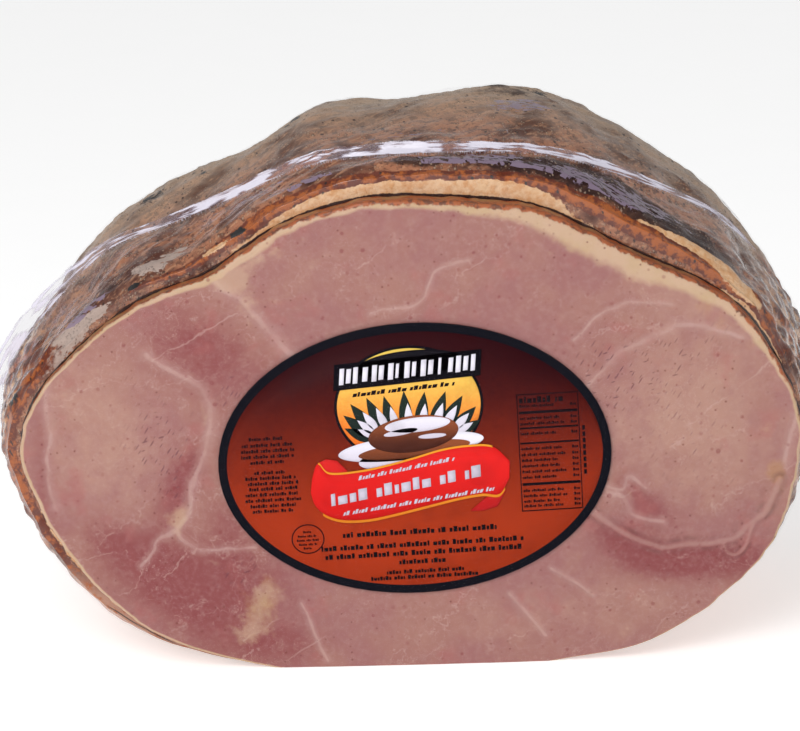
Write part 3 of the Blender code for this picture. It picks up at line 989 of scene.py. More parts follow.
# %% The meat's layers
def make_meat_finish():
    """Muscle pinks, seams, fat rim, stains, splits and specks, with light let a little way in."""
    made, shader = new_finish("cut meat")
    where = here()
    split_axes = node("ShaderNodeSeparateXYZ", [where]).outputs
    flat = node("ShaderNodeCombineXYZ", [split_axes[0], split_axes[2], 0.0]).outputs[0]
    broad = noise(where, 26.0, 3.0)
    mottle = noise(where, 7.0, 4.0, 0.6)
    fine = noise(where, 1.6, 3.0, 0.6)
    unrest = off_middle(mottle)
    colour = blend(window(broad, 0.35, 0.65), PINK, PINK_WARM)
    pale = add(field("pale"), times(unrest, 1.0))
    colour = blend(window(pale, 0.10, 0.9), colour, BEIGE)
    deep = add(field("deep"), times(unrest, 0.55))
    colour = blend(times(window(deep, 0.12, 0.95), 0.95), colour, ROSE)
    colour = blend(times(window(fine, 0.42, 0.72), 0.12), colour, SEAM_PALE)
    blush = noise(where, 11.0, 3.0)
    colour = blend(times(window(blush, 0.56, 0.72), 0.35), colour, BLUSH)
    shift = node("ShaderNodeCombineXYZ", [times(unrest, 0.05), times(unrest, 0.03), 0.0]).outputs[0]
    bent = node("ShaderNodeVectorMath", [flat, shift], operation="ADD").outputs[0]
    bundle_edge = node("ShaderNodeTexVoronoi", {"Vector": bent, "Scale": 1.0 / (BUNDLE_SIZE * MM)},
                       voronoi_dimensions="2D", feature="DISTANCE_TO_EDGE").outputs["Distance"]
    thread = times(window(bundle_edge, 0.022, 0.004), window(broad, 0.40, 0.56), 0.36)
    colour = blend(thread, colour, SEAM_PALE)
    seam_at = add(field("seam"), times(unrest, 1.6))
    seam = window(seam_at, 1.15, 0.15)
    near_seam = window(seam_at, 3.6, 0.4)
    present = window(noise(where, 12.0, 2.0), 0.30, 0.55)
    colour = blend(times(near_seam, 0.20), colour, SEAM_PALE)
    colour = blend(times(seam, add(0.12, times(present, 0.28))), colour, SEAM_PALE)
    tan = window(add(field("tan"), times(unrest, 2.2)), 0.35, 1.1)
    colour = blend(times(tan, 0.5), colour, TAN)
    fat = torn(where, field("fat"), 0.55, 1.8, 8.0, 0.30)
    rim = torn(where, field("fat_rim"), 0.18, 0.55, 7.0, 0.24)
    fat_tone = blend(window(noise(where, 12.0, 3.0), 0.4, 0.66), FAT_CREAM, FAT_YELLOW)
    colour = blend(larger(times(fat, 0.5), times(rim, 0.92)), colour, fat_tone)
    fold = field("fold")
    colour = blend(times(window(fold, 1.3, 0.2), 0.34), colour, FOLD_PALE)
    shade = times(window(fold, 1.0, 1.5), window(fold, 3.4, 1.6), window(mottle, 0.42, 0.62), 0.42)
    colour = blend(shade, colour, FOLD_SHADE)
    fibre = add(field("fibre"), times(unrest, 0.8))
    lean = stretched(flat, (5.5, 1.0, 1.0), (0.0, 0.0, FIBRE_LEAN))
    long_split = times(specks(lean, 1.2, 0.60, 0.19), window(fibre, 0.35, 0.95))
    cross = stretched(flat, (3.4, 1.0, 1.0), (0.0, 0.0, CROSS_LEAN))
    short_split = times(specks(cross, 1.9, 0.36, 0.17), window(fibre, 0.55, 1.0))
    split = larger(long_split, short_split)
    colour = blend(times(split, 0.62), colour, SPLIT_DARK)
    clusters = window(noise(flat, 18.0, 2.0), 0.42, 0.58)
    colour = blend(times(specks(flat, 2.7, 0.30, 0.13), clusters, 0.60), colour, SPECK_RUST)
    colour = blend(times(specks(flat, 7.0, 0.16, 0.11), 0.50), colour, SPECK_RED)
    soft_spots = specks(flat, 4.0, 0.30, 0.15)
    colour = blend(times(soft_spots, rest_of(clusters), 0.35), colour, SPECK_RED)
    stain_at = add(times(field("stain"), 0.45), 0.30)
    drips = stretched(where, (1.0, 1.0, 2.2))
    stain = torn(drips, stain_at, 0.62, 1.5, 2.2, 0.16)
    stain_tone = blend(window(fine, 0.36, 0.56), STAIN_DARK, STAIN)
    colour = blend(times(stain, 0.88), colour, stain_tone)
    side = torn(where, times(field("depth"), 0.3), 0.85, 0.8, 3.0, 0.2)
    colour = blend(times(side, 0.9), colour, blend(window(mottle, 0.42, 0.60), TAN, STAIN))
    ripple = placed(FILM_RIPPLE, {"Vector": where, "Size in mm": 7.0})
    height = add(times(ripple, 0.5), times(fine, 0.25))
    set_sockets(shader, {
        "Base Color": colour, "Roughness": add(0.40, times(mottle, 0.2)), "Specular IOR Level": 0.35,
        "Coat Weight": 0.16, "Coat Roughness": 0.22, "Subsurface Weight": 0.15,
        "Subsurface Radius": (1.0, 0.35, 0.25), "Subsurface Scale": 0.003,
        "Normal": bumped(0.35, 0.0006, height),
    })
    return made


finish_with(first_slice, make_meat_finish())

# %% [markdown]
# ## The label's print
# The label is a stiff oval of dark paper with the print on it: fields of colour, a ribbon,
# and rows of small blocks where words would stand. Ink has an edge, so every printed shape
# is its own very thin closed slab, a little in front of the one below. A slab is a strip
# between a low edge and a high edge; ovals, ribbons, leaves and blocks are all such strips.

# %% Printed shapes from two edges
LABEL_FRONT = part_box("label")[0][1] / MM
INK_STEP = 0.035
ACROSS_STEPS = 5


def on_label(sideways, upward, level):
    """Points in mm for positions on the label, turned with it, `level` steps in front of it."""
    across = LABEL_CENTRE[0] + sideways * math.cos(LABEL_TILT) - upward * math.sin(LABEL_TILT)
    above = LABEL_CENTRE[1] + sideways * math.sin(LABEL_TILT) + upward * math.cos(LABEL_TILT)
    return np.stack([across, np.full_like(across, LABEL_FRONT - INK_STEP * level), above], axis=-1)


def slab(low, high, level):
    """One closed slab: loops round the strip's cross-section, from its left end to its right end."""
    share = np.linspace(0.0, 1.0, 2 if len(low) == 2 else ACROSS_STEPS)[None, :, None]
    face = low[:, None] + (high - low)[:, None] * share
    front = on_label(face[..., 0], face[..., 1], level)
    back = on_label(face[..., 0], face[..., 1], level - 0.9)[:, ::-1]
    loops = np.concatenate([front, back], axis=1)
    points, quads, fans = capped(loops, loops[0].mean(0), loops[-1].mean(0))
    return points, quads[:, ::-1], fans[:, ::-1]


def print_layer(name, strips, level, tone):
    """All strips of one ink as one piece; `tone` gives each point a share between two colours."""
    all_points, all_quads, all_triangles, count = [], [], [], 0
    for low, high in strips:
        points, quads, triangles = slab(np.asarray(low, float), np.asarray(high, float), level)
        all_points.append(points)
        all_quads.append(quads + count)
        all_triangles.append(triangles + count)
        count += len(points)
    points = np.concatenate(all_points)
    faces = [np.concatenate(all_quads), np.concatenate(all_triangles)]
    low, high = tone
    shade = np.clip((points[:, 2] - AXIS_Z - low) / (high - low), 0.0, 1.0)
    made = new_mesh(name, points, faces, {"tone": shade}, smooth=False)
    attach(made, "root")
    print(name, len(strips), "strips", len(points), "points")
    return made


def both_edges(foot, along, half_width, turn):
    """A strip's lower and upper edge: `half_width` off a line from its foot, then turned."""
    c, s = math.cos(math.radians(turn)), math.sin(math.radians(turn))
    edges = []
    for off in (-half_width, half_width):
        edges.append(np.stack([foot[0] + along * c - off * s, foot[1] + along * s + off * c], axis=-1))
    return edges

# %% [markdown]
# Three kinds of strip make nearly everything that is printed: ovals, straight bars, and
# words, which are rows of narrow bars in uneven groups.

# %% Ovals, bars and rows of ticks
def oval(centre, wide, high, steps=48, turn=0.0):
    """An oval as a strip: its lower half and its upper half."""
    angle = np.linspace(math.pi, 0.0, steps)
    return both_edges(centre, wide * np.cos(angle), high * np.sin(angle), turn)


def block(left, right, height, slant=0.0):
    """A straight bar between two end points, with its own height and slanted ends."""
    left, right = np.asarray(left, float), np.asarray(right, float)
    lean = np.array([slant, height / 2.0])
    return [np.stack([left - lean, right - lean]), np.stack([left + lean, right + lean])]


WORD_COUNTS = (5, 3, 7, 4, 6, 2, 5, 8, 4)
TICK_WIDTHS = (0.62, 0.40, 0.55, 0.30, 0.66, 0.46)
TICK_HEIGHTS = (1.0, 0.72, 0.76, 1.0, 0.70, 0.74, 0.96, 0.72)


def words(left, right, height, slant=0.0, start=0, wide=1.0):
    """A row of narrow ticks in groups as long as words, from one end point to the other."""
    left, right = np.asarray(left, float), np.asarray(right, float)
    length = np.hypot(*(right - left))
    way = (right - left) / length
    rise = np.array([-way[1], way[0]])
    bars, at, turn, tick = [], 0.0, start, start
    while at < length:
        for _ in range(WORD_COUNTS[turn % len(WORD_COUNTS)]):
            size = height * wide * TICK_WIDTHS[tick % len(TICK_WIDTHS)]
            tall = height * TICK_HEIGHTS[tick % len(TICK_HEIGHTS)]
            foot = left + way * at - rise * (height - tall) / 2.0
            if at + size > length:
                break
            bars.append(block(foot, foot + way * size, tall, slant=slant))
            at, tick = at + size + 0.2 * height, tick + 1
        at, turn = at + 0.55 * height, turn + 1
    return bars

# %% [markdown]
# The ribbon is one strip too, with a smooth wave for each edge. Its gold rims are the same
# waves again, a millimetre wide, and its two folded ends are small strips behind it.

# %% Ribbon, roundel and picture
RIBBON_LOW = (
    (-34, -9), (-32.8, -13.4), (-29.5, -16.8), (-24, -18.8), (-16, -19), (-8, -17.8), (3, -15.6),
    (13.5, -13.5), (21, -12.6), (26.5, -13), (29.9, -8),
)
RIBBON_HIGH = (
    (-33.8, -8), (-33, -3.6), (-31, 0.6), (-27.5, -2.9), (-18, -2.8), (-9, -1.4), (0, 0.6), (8.5, 2.7),
    (17, 3.6), (25, 2.9), (30.3, -2.2),
)
LEAF_FAN = tuple((x, z, long, wide, turn) for turn, x, z, long, wide in (
    (152, -13, 7, 10, 3.6), (138, -13, 8, 12, 4.0), (125, -12, 9, 13, 4.2), (113, -9, 9, 13.5, 4.2),
    (102, -6, 9, 13, 4.0), (91, -2, 9, 14, 4.2), (80, 2, 9, 13.5, 4.2), (69, 6, 9, 14, 4.4),
    (57, 9, 9, 13.5, 4.4), (45, 12, 8, 12, 4.2), (30, 13, 7, 10, 3.6),
))
LEAF_LIGHT = 0.62


def leaf(x, z, length, width, turn):
    """A pointed leaf: its half width is a sine of its length."""
    share = np.linspace(0.0, 1.0, 16)
    half_width = width * 0.5 * np.sin(math.pi * share ** 0.8)
    edges = both_edges((x, z), length * share, half_width, turn)
    return edges[::-1] if turn > 90 else edges


def edged(curve, width):
    """A strip that follows a curve, `width` wide and below it."""
    curve = np.asarray(curve, float)
    return [curve - np.array([0.0, width]), curve]


ROUNDEL = (-0.9, 18.0)
RIBBON_END_LEFT = [
    np.array([[-31.0, 0.0], [-28.3, -2.6], [-25.0, -3.6], [-22.0, -3.4]]),
    np.array([[-31.0, 0.8], [-28.3, 1.9], [-24.9, 1.2], [-21.7, -2.4]]),
]
RIBBON_END_RIGHT = [
    np.array([[17.0, -18.2], [21.0, -18.4], [25.6, -17.2], [28.6, -12.0]]),
    np.array([[17.2, -17.8], [21.2, -14.6], [24.0, -12.6], [28.4, -11.6]]),
]
ribbon_low = smooth_route(RIBBON_LOW, 8)
ribbon_high = smooth_route(RIBBON_HIGH, 8)
PRINT = {
    "label_field": ([oval((0, 0), 60.2, 42.2, 96)], 1, (-36.0, 34.0), "field"),
    "label_roundel_rim": ([oval(ROUNDEL, 23.8, 19.8, 64)], 2, (0.0, 1.0), "black"),
    "label_roundel": ([oval(ROUNDEL, 22.9, 18.9, 64)], 3, (6.0, 34.0), "sun"),
    "label_leaves_dark": ([leaf(*row) for row in LEAF_FAN], 4, (0.0, 24.0), "green"),
    "label_leaves_pale": ([leaf(x + 0.9, z + 1.2, long * LEAF_LIGHT, wide * LEAF_LIGHT, turn)
                           for x, z, long, wide, turn in LEAF_FAN], 5, (0.0, 26.0), "white"),
    "label_plate": ([oval((-1, 4.4), 23.4, 4.2, 40, 4.0), oval((-5, 0.8), 13.0, 3.4, 24, 5.0)],
                    6, (-4.0, 8.0), "white"),
    "label_plate_shade": ([oval((0, 3.4), 18.0, 2.6, 40, 4.0)], 7, (-4.0, 8.0), "roast"),
    "label_roast": ([oval((0, 8.6), 14.5, 6.0, 40, 5.0)], 8, (4.0, 15.0), "roast"),
    "label_roast_glaze": ([oval((1.5, 11.6), 10.5, 2.4, 30, 3.0), oval((-4, 9.4), 5.5, 1.0, 24, 8.0),
                           oval((6.0, 7.6), 4.5, 0.8, 24, 2.0)], 8.6, (6.0, 15.0), "white"),
    "label_plaque": ([block((-24.2, 28.6), (22.8, 31.0), 8.6, 0.4), oval((0, 31.6), 17.0, 4.6, 32, 3.0)],
                     9, (0.0, 1.0), "black"),
    "label_ribbon_ends": ([RIBBON_END_LEFT, RIBBON_END_RIGHT], 10, (-20.0, 2.0), "red shade"),
    "label_ribbon": ([[ribbon_low, ribbon_high]], 11, (-20.0, 4.0), "red"),
    "label_gold": ([edged(ribbon_low[14:-4], 0.9), edged(ribbon_high[16:-8] + [0.0, 0.35], 0.7)],
                   12, (-20.0, 4.0), "gold"),
}

# %% [markdown]
# The rest is small type, as blocks: light on the ribbon and the plaque, dark on the field,
# with a ruled box on the right and a round stamp on the left.

# %% Small type
def ring(centre, wide, high, width, steps=40):
    """A ring as two strips: under its bottom and over its top."""
    outer_low, outer_high = oval(centre, wide, high, steps)
    inner_low, inner_high = oval(centre, wide - width, high - width, steps)
    return [[outer_low, inner_low], [inner_high, outer_high]]


TITLE_TICKS = (
    (-22.4, 1.5), (-20.2, 1.5), (-18, 1.5), (-15, 1.7), (-12, 1.6), (-9.8, 1.6), (-6.8, 1.7), (-4.4, 1),
    (-1.6, 1.7), (0.8, 1.3), (3.6, 1.7), (6, 1.6), (9.2, 0.9), (12.4, 1.5), (14.8, 1.6), (17.2, 1.5),
    (19.6, 1.4),
)
TITLE_FOOT, TITLE_RISE = 28.7, 0.055
light_type = []
for turn, (x, wide) in enumerate(TITLE_TICKS):
    left, right = ((end, TITLE_FOOT + TITLE_RISE * (end + 24)) for end in (x, x + wide))
    light_type.append(block(left, right, 5.4 - 0.7 * (turn % 2), slant=0.3))
light_type += words((-18.2, -5.0), (13.6, -0.1), 1.5, 0.25, 0)
light_type += words((-27.6, -11.9), (23.5, -4.4), 4.0, 0.0, 3, 1.15)
light_type += words((-23.9, -16.6), (25.5, -10.9), 1.5, 0.25, 5)

dark_type = words((-18.5, 22.6), (14.5, 24.6), 1.5, 0.2, 2, 1.6)
PARAGRAPHS = (
    (-52.6, -41.8, 9.8), (-55, -38.4, 7.7), (-55.3, -38.2, 5.8), (-55.4, -38.2, 3.9), (-52.6, -41, 2),
    (-51.6, -41.4, -1.5), (-54.6, -37.8, -3.3), (-53.9, -37.5, -5.1), (-53.6, -38.1, -6.9),
    (-54.9, -37, -8.8), (-55.1, -37, -10.7), (-53.6, -38.2, -12.6), (-53, -39.6, -14.4),
)
for turn, (left, right, at) in enumerate(PARAGRAPHS):
    dark_type += words((left, at), (right, at), 1.15, 0.0, turn)
LOWER_ROWS = (
    (-24.6, 26.3, -24, 1.8), (-31.8, 33.9, -28.3, 1.7), (-30.7, 32.9, -31.2, 1.7),
    (-7, 9.2, -34.2, 1.6), (-11.2, 13.8, -37.5, 1.3), (-16.4, 18.2, -39.4, 1.3),
)
for turn, (left, right, at, height) in enumerate(LOWER_ROWS):
    dark_type += words((left, at), (right, at), height, 0.0, turn * 2 + 1, 1.1)
dark_type += ring((-35.9, -24.6), 5.3, 5.0, 0.35)
for at, half in ((-22.2, 1.4), (-23.6, 3.2), (-25.0, 3.6), (-26.4, 3.0), (-27.7, 1.6)):
    dark_type += words((-35.9 - half, at), (-35.9 + half, at), 0.75)
BOX_LEFT, BOX_RIGHT, BOX_HIGH, BOX_LOW = 33.4, 53.1, 19.4, -19.4
dark_type += [block((BOX_LEFT, at), (BOX_RIGHT, at), 0.35) for at in (BOX_HIGH, BOX_LOW)]
dark_type += [block((x, 0.0), (x + 0.3, 0.0), BOX_HIGH - BOX_LOW) for x in (BOX_LEFT, BOX_RIGHT - 0.3)]
dark_type += words((34.2, 17.6), (49.0, 17.6), 2.1, 0.0, 2)
for at, bold in ((13.4, 0.9), (-10.5, 0.9), (8.2, 0.6), (3.2, 0.6)):
    dark_type.append(block((34.0, at), (52.6, at), bold))
BOX_ROWS = (15.6, 11.5, 9.7, 6.4, 1.4, -0.6, -2.5, -4.4, -6.3, -8.2, -12.6, -14.4, -16.2, -17.8)
for turn, at in enumerate(BOX_ROWS):
    dark_type += words((34.2, at), (46.0 + 1.5 * (turn % 3), at), 0.95, 0.0, turn)
    dark_type += words((50.4, at), (52.6, at), 0.95)
dark_type += [block((53.9, 7.4 - 2.1 * turn), (54.8, 7.4 - 2.1 * turn), 1.5) for turn in range(8)]
PRINT["label_type_dark"] = (dark_type, 3.5, (0.0, 1.0), "ink")
PRINT["label_type_light"] = (light_type, 13, (0.0, 1.0), "white")

# %% [markdown]
# Print on coated paper is nearly flat colour, but not quite: the paper has a fine tooth,
# each ink runs between two tones, and the whole shines softly under the film.

# %% Inks
WORN_DARK = tint(30, 12, 18)
WORN_SHARE = 0.16
INKS = {
    "paper": (tint(6, 8, 18), tint(12, 14, 26)),
    "field": (tint(170, 54, 20), tint(48, 6, 12)),
    "black": (tint(8, 8, 14), tint(14, 12, 20)),
    "sun": (tint(236, 116, 40), tint(242, 206, 96)),
    "green": (tint(24, 34, 32), tint(34, 46, 40)),
    "white": (tint(206, 198, 214), tint(236, 232, 244)),
    "roast": (tint(74, 36, 26), tint(150, 80, 48)),
    "red": (tint(206, 26, 24), tint(226, 34, 32)),
    "red shade": (tint(176, 26, 28), tint(214, 38, 36)),
    "gold": (tint(214, 124, 32), tint(232, 150, 44)),
    "ink": (tint(16, 8, 14), tint(24, 12, 18)),
}


def make_ink(name, low, high):
    """Two tones blended by height on the label, dotted by the printing screen, softly glossy."""
    made, shader = new_finish("print " + name)
    where = here()
    screen = noise(where, 0.45, 2.0)
    share = add(field("tone"), times(off_middle(screen), 0.35))
    colour = blend(window(share, 0.0, 1.0), low, high)
    worn = times(window(noise(where, 9.0, 3.0), 0.50, 0.72), WORN_SHARE)
    colour = blend(worn, colour, WORN_DARK)
    ripple = placed(FILM_RIPPLE, {"Vector": where, "Size in mm": 9.0})
    set_sockets(shader, {"Base Color": colour, "Roughness": add(0.42, times(screen, 0.16)),
                         "Specular IOR Level": 0.06, "Normal": bumped(0.15, 0.0004, ripple)})
    return made


inks = {name: make_ink(name, *tones) for name, tones in INKS.items()}
for name, (strips, level, tone, ink) in PRINT.items():
    finish_with(print_layer(name, strips, level, tone), inks[ink])
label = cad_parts["label"]
for place_for in label.material_slots:
    place_for.material = inks["paper"]

# %% [markdown]
# ## The film's seam
# Where the two sheets of film were welded they stand up in a thin crumpled fin. It is a strip
# carried along the seam's route: its cross-section starts on the skin as a short comb of
# drawn-in pleats, stands up, and ends in a ruffled edge. Ridges along the fin scatter light,
# so it is whitest where several layers lie on each other.

# %% The fin
SEAM_ROUTE = (
    (176, 48), (160, 47), (145, 41), (130, 33), (115, 25), (100, 20), (85, 18), (70, 20), (58, 26),
    (45, 38), (32, 53), (22, 62),
)
SEAM_FIT_DEGREE = 5
SEAM_STEPS = 1400
PLEAT_STEPS, FIN_STEPS = 5, 12
FIN_RIGHT, FIN_LEFT, FIN_THICK = 24.0, 178.0, 0.12
SKIN_CLEAR = 1.3
MM_PER_DEGREE = 1.9


def seam_height(angles):
    """How far the fin stands up, in mm: low on the right, tall and loose on the left."""
    tall = 2.2 + 0.8 * bell(angles - 95.0, 18.0) + 3.8 * ease((angles - 140.0) / 24.0)
    return tall - 1.2 * ease((60.0 - angles) / 30.0)


def make_seam():
    """The strip: rows along the route, columns from the pleats' toes up to the fin's edge."""
    angles = np.linspace(FIN_RIGHT, FIN_LEFT, SEAM_STEPS)[:, None]
    known = np.array(SEAM_ROUTE, float)
    depth = np.polyval(np.polyfit(known[:, 0], known[:, 1], SEAM_FIT_DEGREE), angles)
    pleats = np.linspace(-1.0, 0.0, PLEAT_STEPS, endpoint=False)
    up = np.concatenate([pleats, np.linspace(0.0, 1.0, FIN_STEPS)])[None, :]
    line = np.stack([angles * 2.0, np.zeros_like(angles), np.full_like(angles, 3.0)], axis=-1)
    slow, quick = lumps(line, 14.0, 61), lumps(line, 4.0, 62)
    height = seam_height(angles) * (1.0 + 0.20 * slow + 0.06 * quick)
    ends = ease((angles - FIN_RIGHT) / 5.0) * ease((FIN_LEFT - angles) / 3.0)
    fin = np.clip(up, 0.0, 1.0)
    pleat = np.clip(-up, 0.0, 1.0)
    fin_height = height * fin * (0.25 + 0.75 * ends)
    lean = 1.5 * fin + 0.9 * np.sin(fin * math.pi) * slow + 0.3 * fin * quick - (1.2 + 0.5 * slow) * pleat
    along_fin = np.stack(np.broadcast_arrays(angles * 0.25, up * 3.0, up * 0.0), axis=-1)
    ruffle = 0.45 * lumps(along_fin, 0.9, 63) * fin
    around = angles * np.ones_like(up)
    radius = body_radius(around, depth + lean) + SKIN_CLEAR * (1.0 - 0.5 * pleat) + fin_height
    grid = place(around, radius, depth + lean + ruffle)
    rows, columns = grid.shape[:2]
    fields = {
        "route": np.repeat(angles * MM_PER_DEGREE, columns, axis=1).ravel(),
        "up": np.repeat(up, rows, axis=0).ravel(),
    }
    made = new_mesh("film_seam_fin", grid.reshape(-1, 3), [grid_faces(rows, columns, closed=False)], fields)
    skin = made.modifiers.new("thickness", "SOLIDIFY")
    skin.thickness = FIN_THICK * MM
    skin.offset = 0.0
    print("film_seam_fin", rows, "by", columns, "points, solidified")
    return made


film_seam_fin = make_seam()
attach(film_seam_fin, "root")
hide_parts("film_seam")

# %% [markdown]
# ## The clear film
# The film follows everything loosely: it lies flat over the cut face and the label, bends
# round the slice, spans the dark gap behind it and clings to the skin. So it is the skin's
# own smooth surface moved outwards along its normals, with a flat panel in front.

# %% The film round the ham
FILM_COLUMNS = 420
PANEL_LIFT, PANEL_ROWS, PANEL_INSET = 1.5, 40, 1.6
FILM_GAP = 0.75
WALL_OUT = np.array([[2.8], [3.0], [3.5]])
WALL_DEPTHS = np.array([[3.5], [5.5], [8.5]])
CREASES = (
    (1, ((75.5, 50), (72.5, 36), (70.5, 22))), (1, ((143.5, 58), (147, 50), (150.5, 45))),
    (1, ((36, 62), (31, 52), (27.5, 42))), (0.9, ((27.6, 40), (19.5, 42), (11, 52))),
    (0.7, ((70.5, 16), (67.5, 9), (65.5, 4))), (0.6, ((54.6, 24), (51.8, 17), (50, 12))),
    (0.6, ((190, 30), (185, 12), (181, 2))), (0.6, ((186, 44), (178, 24), (176, 6))),
    (0.7, ((100, 120), (96, 100), (103, 80))), (0.6, ((60, 130), (72, 110), (66, 92))),
    (0.6, ((10, 90), (20, 110), (8, 128))), (0.6, ((170, 90), (160, 112), (172, 130))),
    (0.5, ((340, 70), (352, 92), (346, 116))), (0.5, ((205, 70), (196, 95), (204, 118))),
)
POCKET_MARKS = (
    (108, 3.4, 4.5, 2, 1), (82, 4.6, 5, 2.2, 0.95), (63, 3.6, 6.5, 2, 1), (74, 9, 4.5, 2.4, 0.8),
    (155, 5, 3.5, 3.2, 0.85), (50, 8, 6, 3.6, 0.95), (45, 15, 6, 4, 0.6), (70, 52, 4, 5, 0.95),
    (95, 9, 5, 1.8, 0.5), (90, 28, 9, 3, 0.5), (118, 13, 6, 2, 0.4), (58, 9.5, 4, 2.4, 0.7),
    (105, 95, 7, 8, 0.6), (60, 110, 6, 8, 0.6), (30, 80, 5, 8, 0.5), (150, 95, 6, 9, 0.6),
    (185, 60, 5, 9, 0.5), (75, 135, 9, 6, 0.5),
)

# %% [markdown]
# The film's rings run from the middle of the front panel, round its bend, along a short wall
# over the slice and then on over the skin.

# %% The film's rings
def make_film():
    """Rings: a flat front panel, a bend round the slice, then the lifted skin back to the dome."""
    angles = np.linspace(0.0, 360.0, FILM_COLUMNS, endpoint=False)
    far_depths = DEPTHS[DEPTHS > FRONT + 27.0][::2]
    depths = np.concatenate([FRONT + np.arange(5.0, 27.0, 1.1), far_depths, DEPTHS[-1:]])
    around, behind = np.meshgrid(angles, depths)
    smooth_grid = place(around, body_radius(around, behind), behind)
    wrinkles = heaps(smooth_grid, (0.16, 9.0, 71), (0.08, 3.5, 72))
    follow = 1.3 * lumps(smooth_grid, 17.0, 11) * ease((behind - FRONT) / 14.0)
    follow = follow + 0.55 * lumps(smooth_grid, 7.5, 12)
    lift = FILM_GAP + follow + wrinkles
    lift = lift * (0.1 + 0.9 * ease((smooth_grid[..., 2] - 1.0) / 12.0))
    skin = smooth_grid + grid_normals(smooth_grid) * lift[..., None]
    inner = outline_radius(angles) - PANEL_INSET
    share = np.linspace(0.04, 1.0, PANEL_ROWS)[:, None]
    panel = place(angles, inner * share, -PANEL_LIFT * np.ones_like(share))
    turn = np.linspace(0.0, math.pi / 2.0, 6)[1:, None]
    bend = place(angles, inner + 2.7 * np.sin(turn), -PANEL_LIFT + 3.0 * (1.0 - np.cos(turn)))
    wall = place(angles, inner + WALL_OUT, WALL_DEPTHS * np.ones_like(inner))
    grid = np.concatenate([panel, bend, wall, skin])
    grid[..., 2] = np.maximum(grid[..., 2], -0.03)
    rows = len(grid) - len(skin)
    around = np.concatenate([np.repeat(angles[None], rows, axis=0), around])
    along = np.concatenate([grid[:rows, :, 1] - FACE_Y - FRONT, behind - FRONT])
    arc = wrap_degrees(around - 90.0) * MM_PER_DEGREE
    crease = np.full(around.shape, 9.0)
    for width, route in CREASES:
        bent = smooth_route([(wrap_degrees(angle - 90.0) * MM_PER_DEGREE, depth) for angle, depth in route])
        crease = np.minimum(crease, distance_to_route(arc, along + 0.8 * lumps(grid, 6.0, 74), bent) / width)
    fields = {
        "flow": np.stack([arc, along, np.zeros_like(arc)], axis=-1) * MM,
        "crease": crease,
        "pocket": blots(around, along, POCKET_MARKS),
        "face": ease(-along / 6.0),
    }
    front_pole = np.array([0.0, FACE_Y - PANEL_LIFT, AXIS_Z])
    back_pole = np.array([DRIFT, BACK_Y + 1.2, AXIS_Z])
    return closed_surface("clear_film", grid, front_pole, back_pole, fields)


clear_film = make_film()
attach(clear_film, "root")

# %% [markdown]
# ### Film finishes
# Clear film is hardly there: what shows is where it mirrors the sky. So both finishes are
# see-through nearly everywhere, and turn pale only in creases, in the air pockets, along
# grazing directions and in the welded fin.

# %% Film finishes
POCKET_GREY = tint(140, 122, 142)
FIN_GREY = tint(160, 150, 170)
FILM_WHITE = tint(226, 222, 236)
CLEAREST = 0.008
ONE_UNIT = 1.0 / MM  # the fin's coordinates are plain numbers, so noise takes them as metres


def make_film_finish():
    """Alpha from creases, pockets and a grazing haze; the colour follows which of them it is."""
    made, shader = new_finish("clear film")
    flow = field("flow", "Vector")
    drawn = stretched(flow, (2.6, 1.0, 1.0), (0.0, 0.0, 0.15))
    grain = noise(flow, 3.0, 1.0)
    broken = window(noise(drawn, 1.3, 2.0), 0.41, 0.49)
    off_face = rest_of(field("face"))
    pocket = times(torn(drawn, field("pocket"), 0.55, 2.0, 2.6, 0.03), broken, off_face, 0.82)
    line = add(field("crease"), grain)
    crease = times(window(line, 1.0, 0.55), window(grain, 0.35, 0.60), 0.65)
    graze = node("ShaderNodeLayerWeight", {"Blend": 0.42}).outputs["Facing"]
    haze = times(calc("POWER", graze, 3.0), off_face, 0.07)
    clear = larger(larger(pocket, crease), haze)
    tone = blend(calc("GREATER_THAN", crease, pocket), POCKET_GREY, FILM_WHITE)
    set_sockets(shader, {"Alpha": larger(clear, CLEAREST), "Base Color": tone, "Roughness": 0.15,
                         "Normal": bumped(0.4, 0.0006, grain)})
    return made

# %% [markdown]
# The fin's finish reads two numbers, the way along its route and the height above its foot,
# so its streaks run along it and its pleats stand across it.

# %% The fin's finish
def make_fin_finish():
    """White streaks that run along the fin, a comb of pleats at its foot, a torn upper edge."""
    made, shader = new_finish("welded film")
    route, up = field("route"), field("up")
    position = node("ShaderNodeCombineXYZ", [route, up, 0.0]).outputs[0]
    long_streaks = noise(stretched(position, (10.0, 0.3, 1.0)), ONE_UNIT, 4.0, 0.5)
    patchy = noise(stretched(position, (20.0, 1.25, 1.0)), ONE_UNIT, 3.0, 0.5)
    comb = noise(stretched(position, (0.4, 2.5, 1.0)), ONE_UNIT, 1.0, 0.5)
    weld = window(add(long_streaks, times(off_middle(patchy), 1.0)), 0.40, 0.56)
    teeth = times(window(comb, 0.52, 0.60), window(up, -0.9, -0.1), 0.40)
    tip = window(add(up, times(comb, 0.3)), 1.22, 1.05)
    on_fin = window(up, -0.12, 0.02)
    alpha = add(times(add(0.10, times(weld, 0.72)), on_fin, tip),
                 times(teeth, rest_of(on_fin)))
    set_sockets(shader, {"Alpha": alpha, "Base Color": blend(weld, FIN_GREY, FILM_WHITE),
                         "Roughness": 0.25, "Normal": bumped(0.5, 0.0005, long_streaks)})
    return made


finish_with(clear_film, make_film_finish())
finish_with(film_seam_fin, make_fin_finish())
# Film this thin hardly dims the light, so it neither casts a shadow nor holds back soft light.
for film in (clear_film, film_seam_fin):
    film.visible_shadow = False
    film.visible_diffuse = False

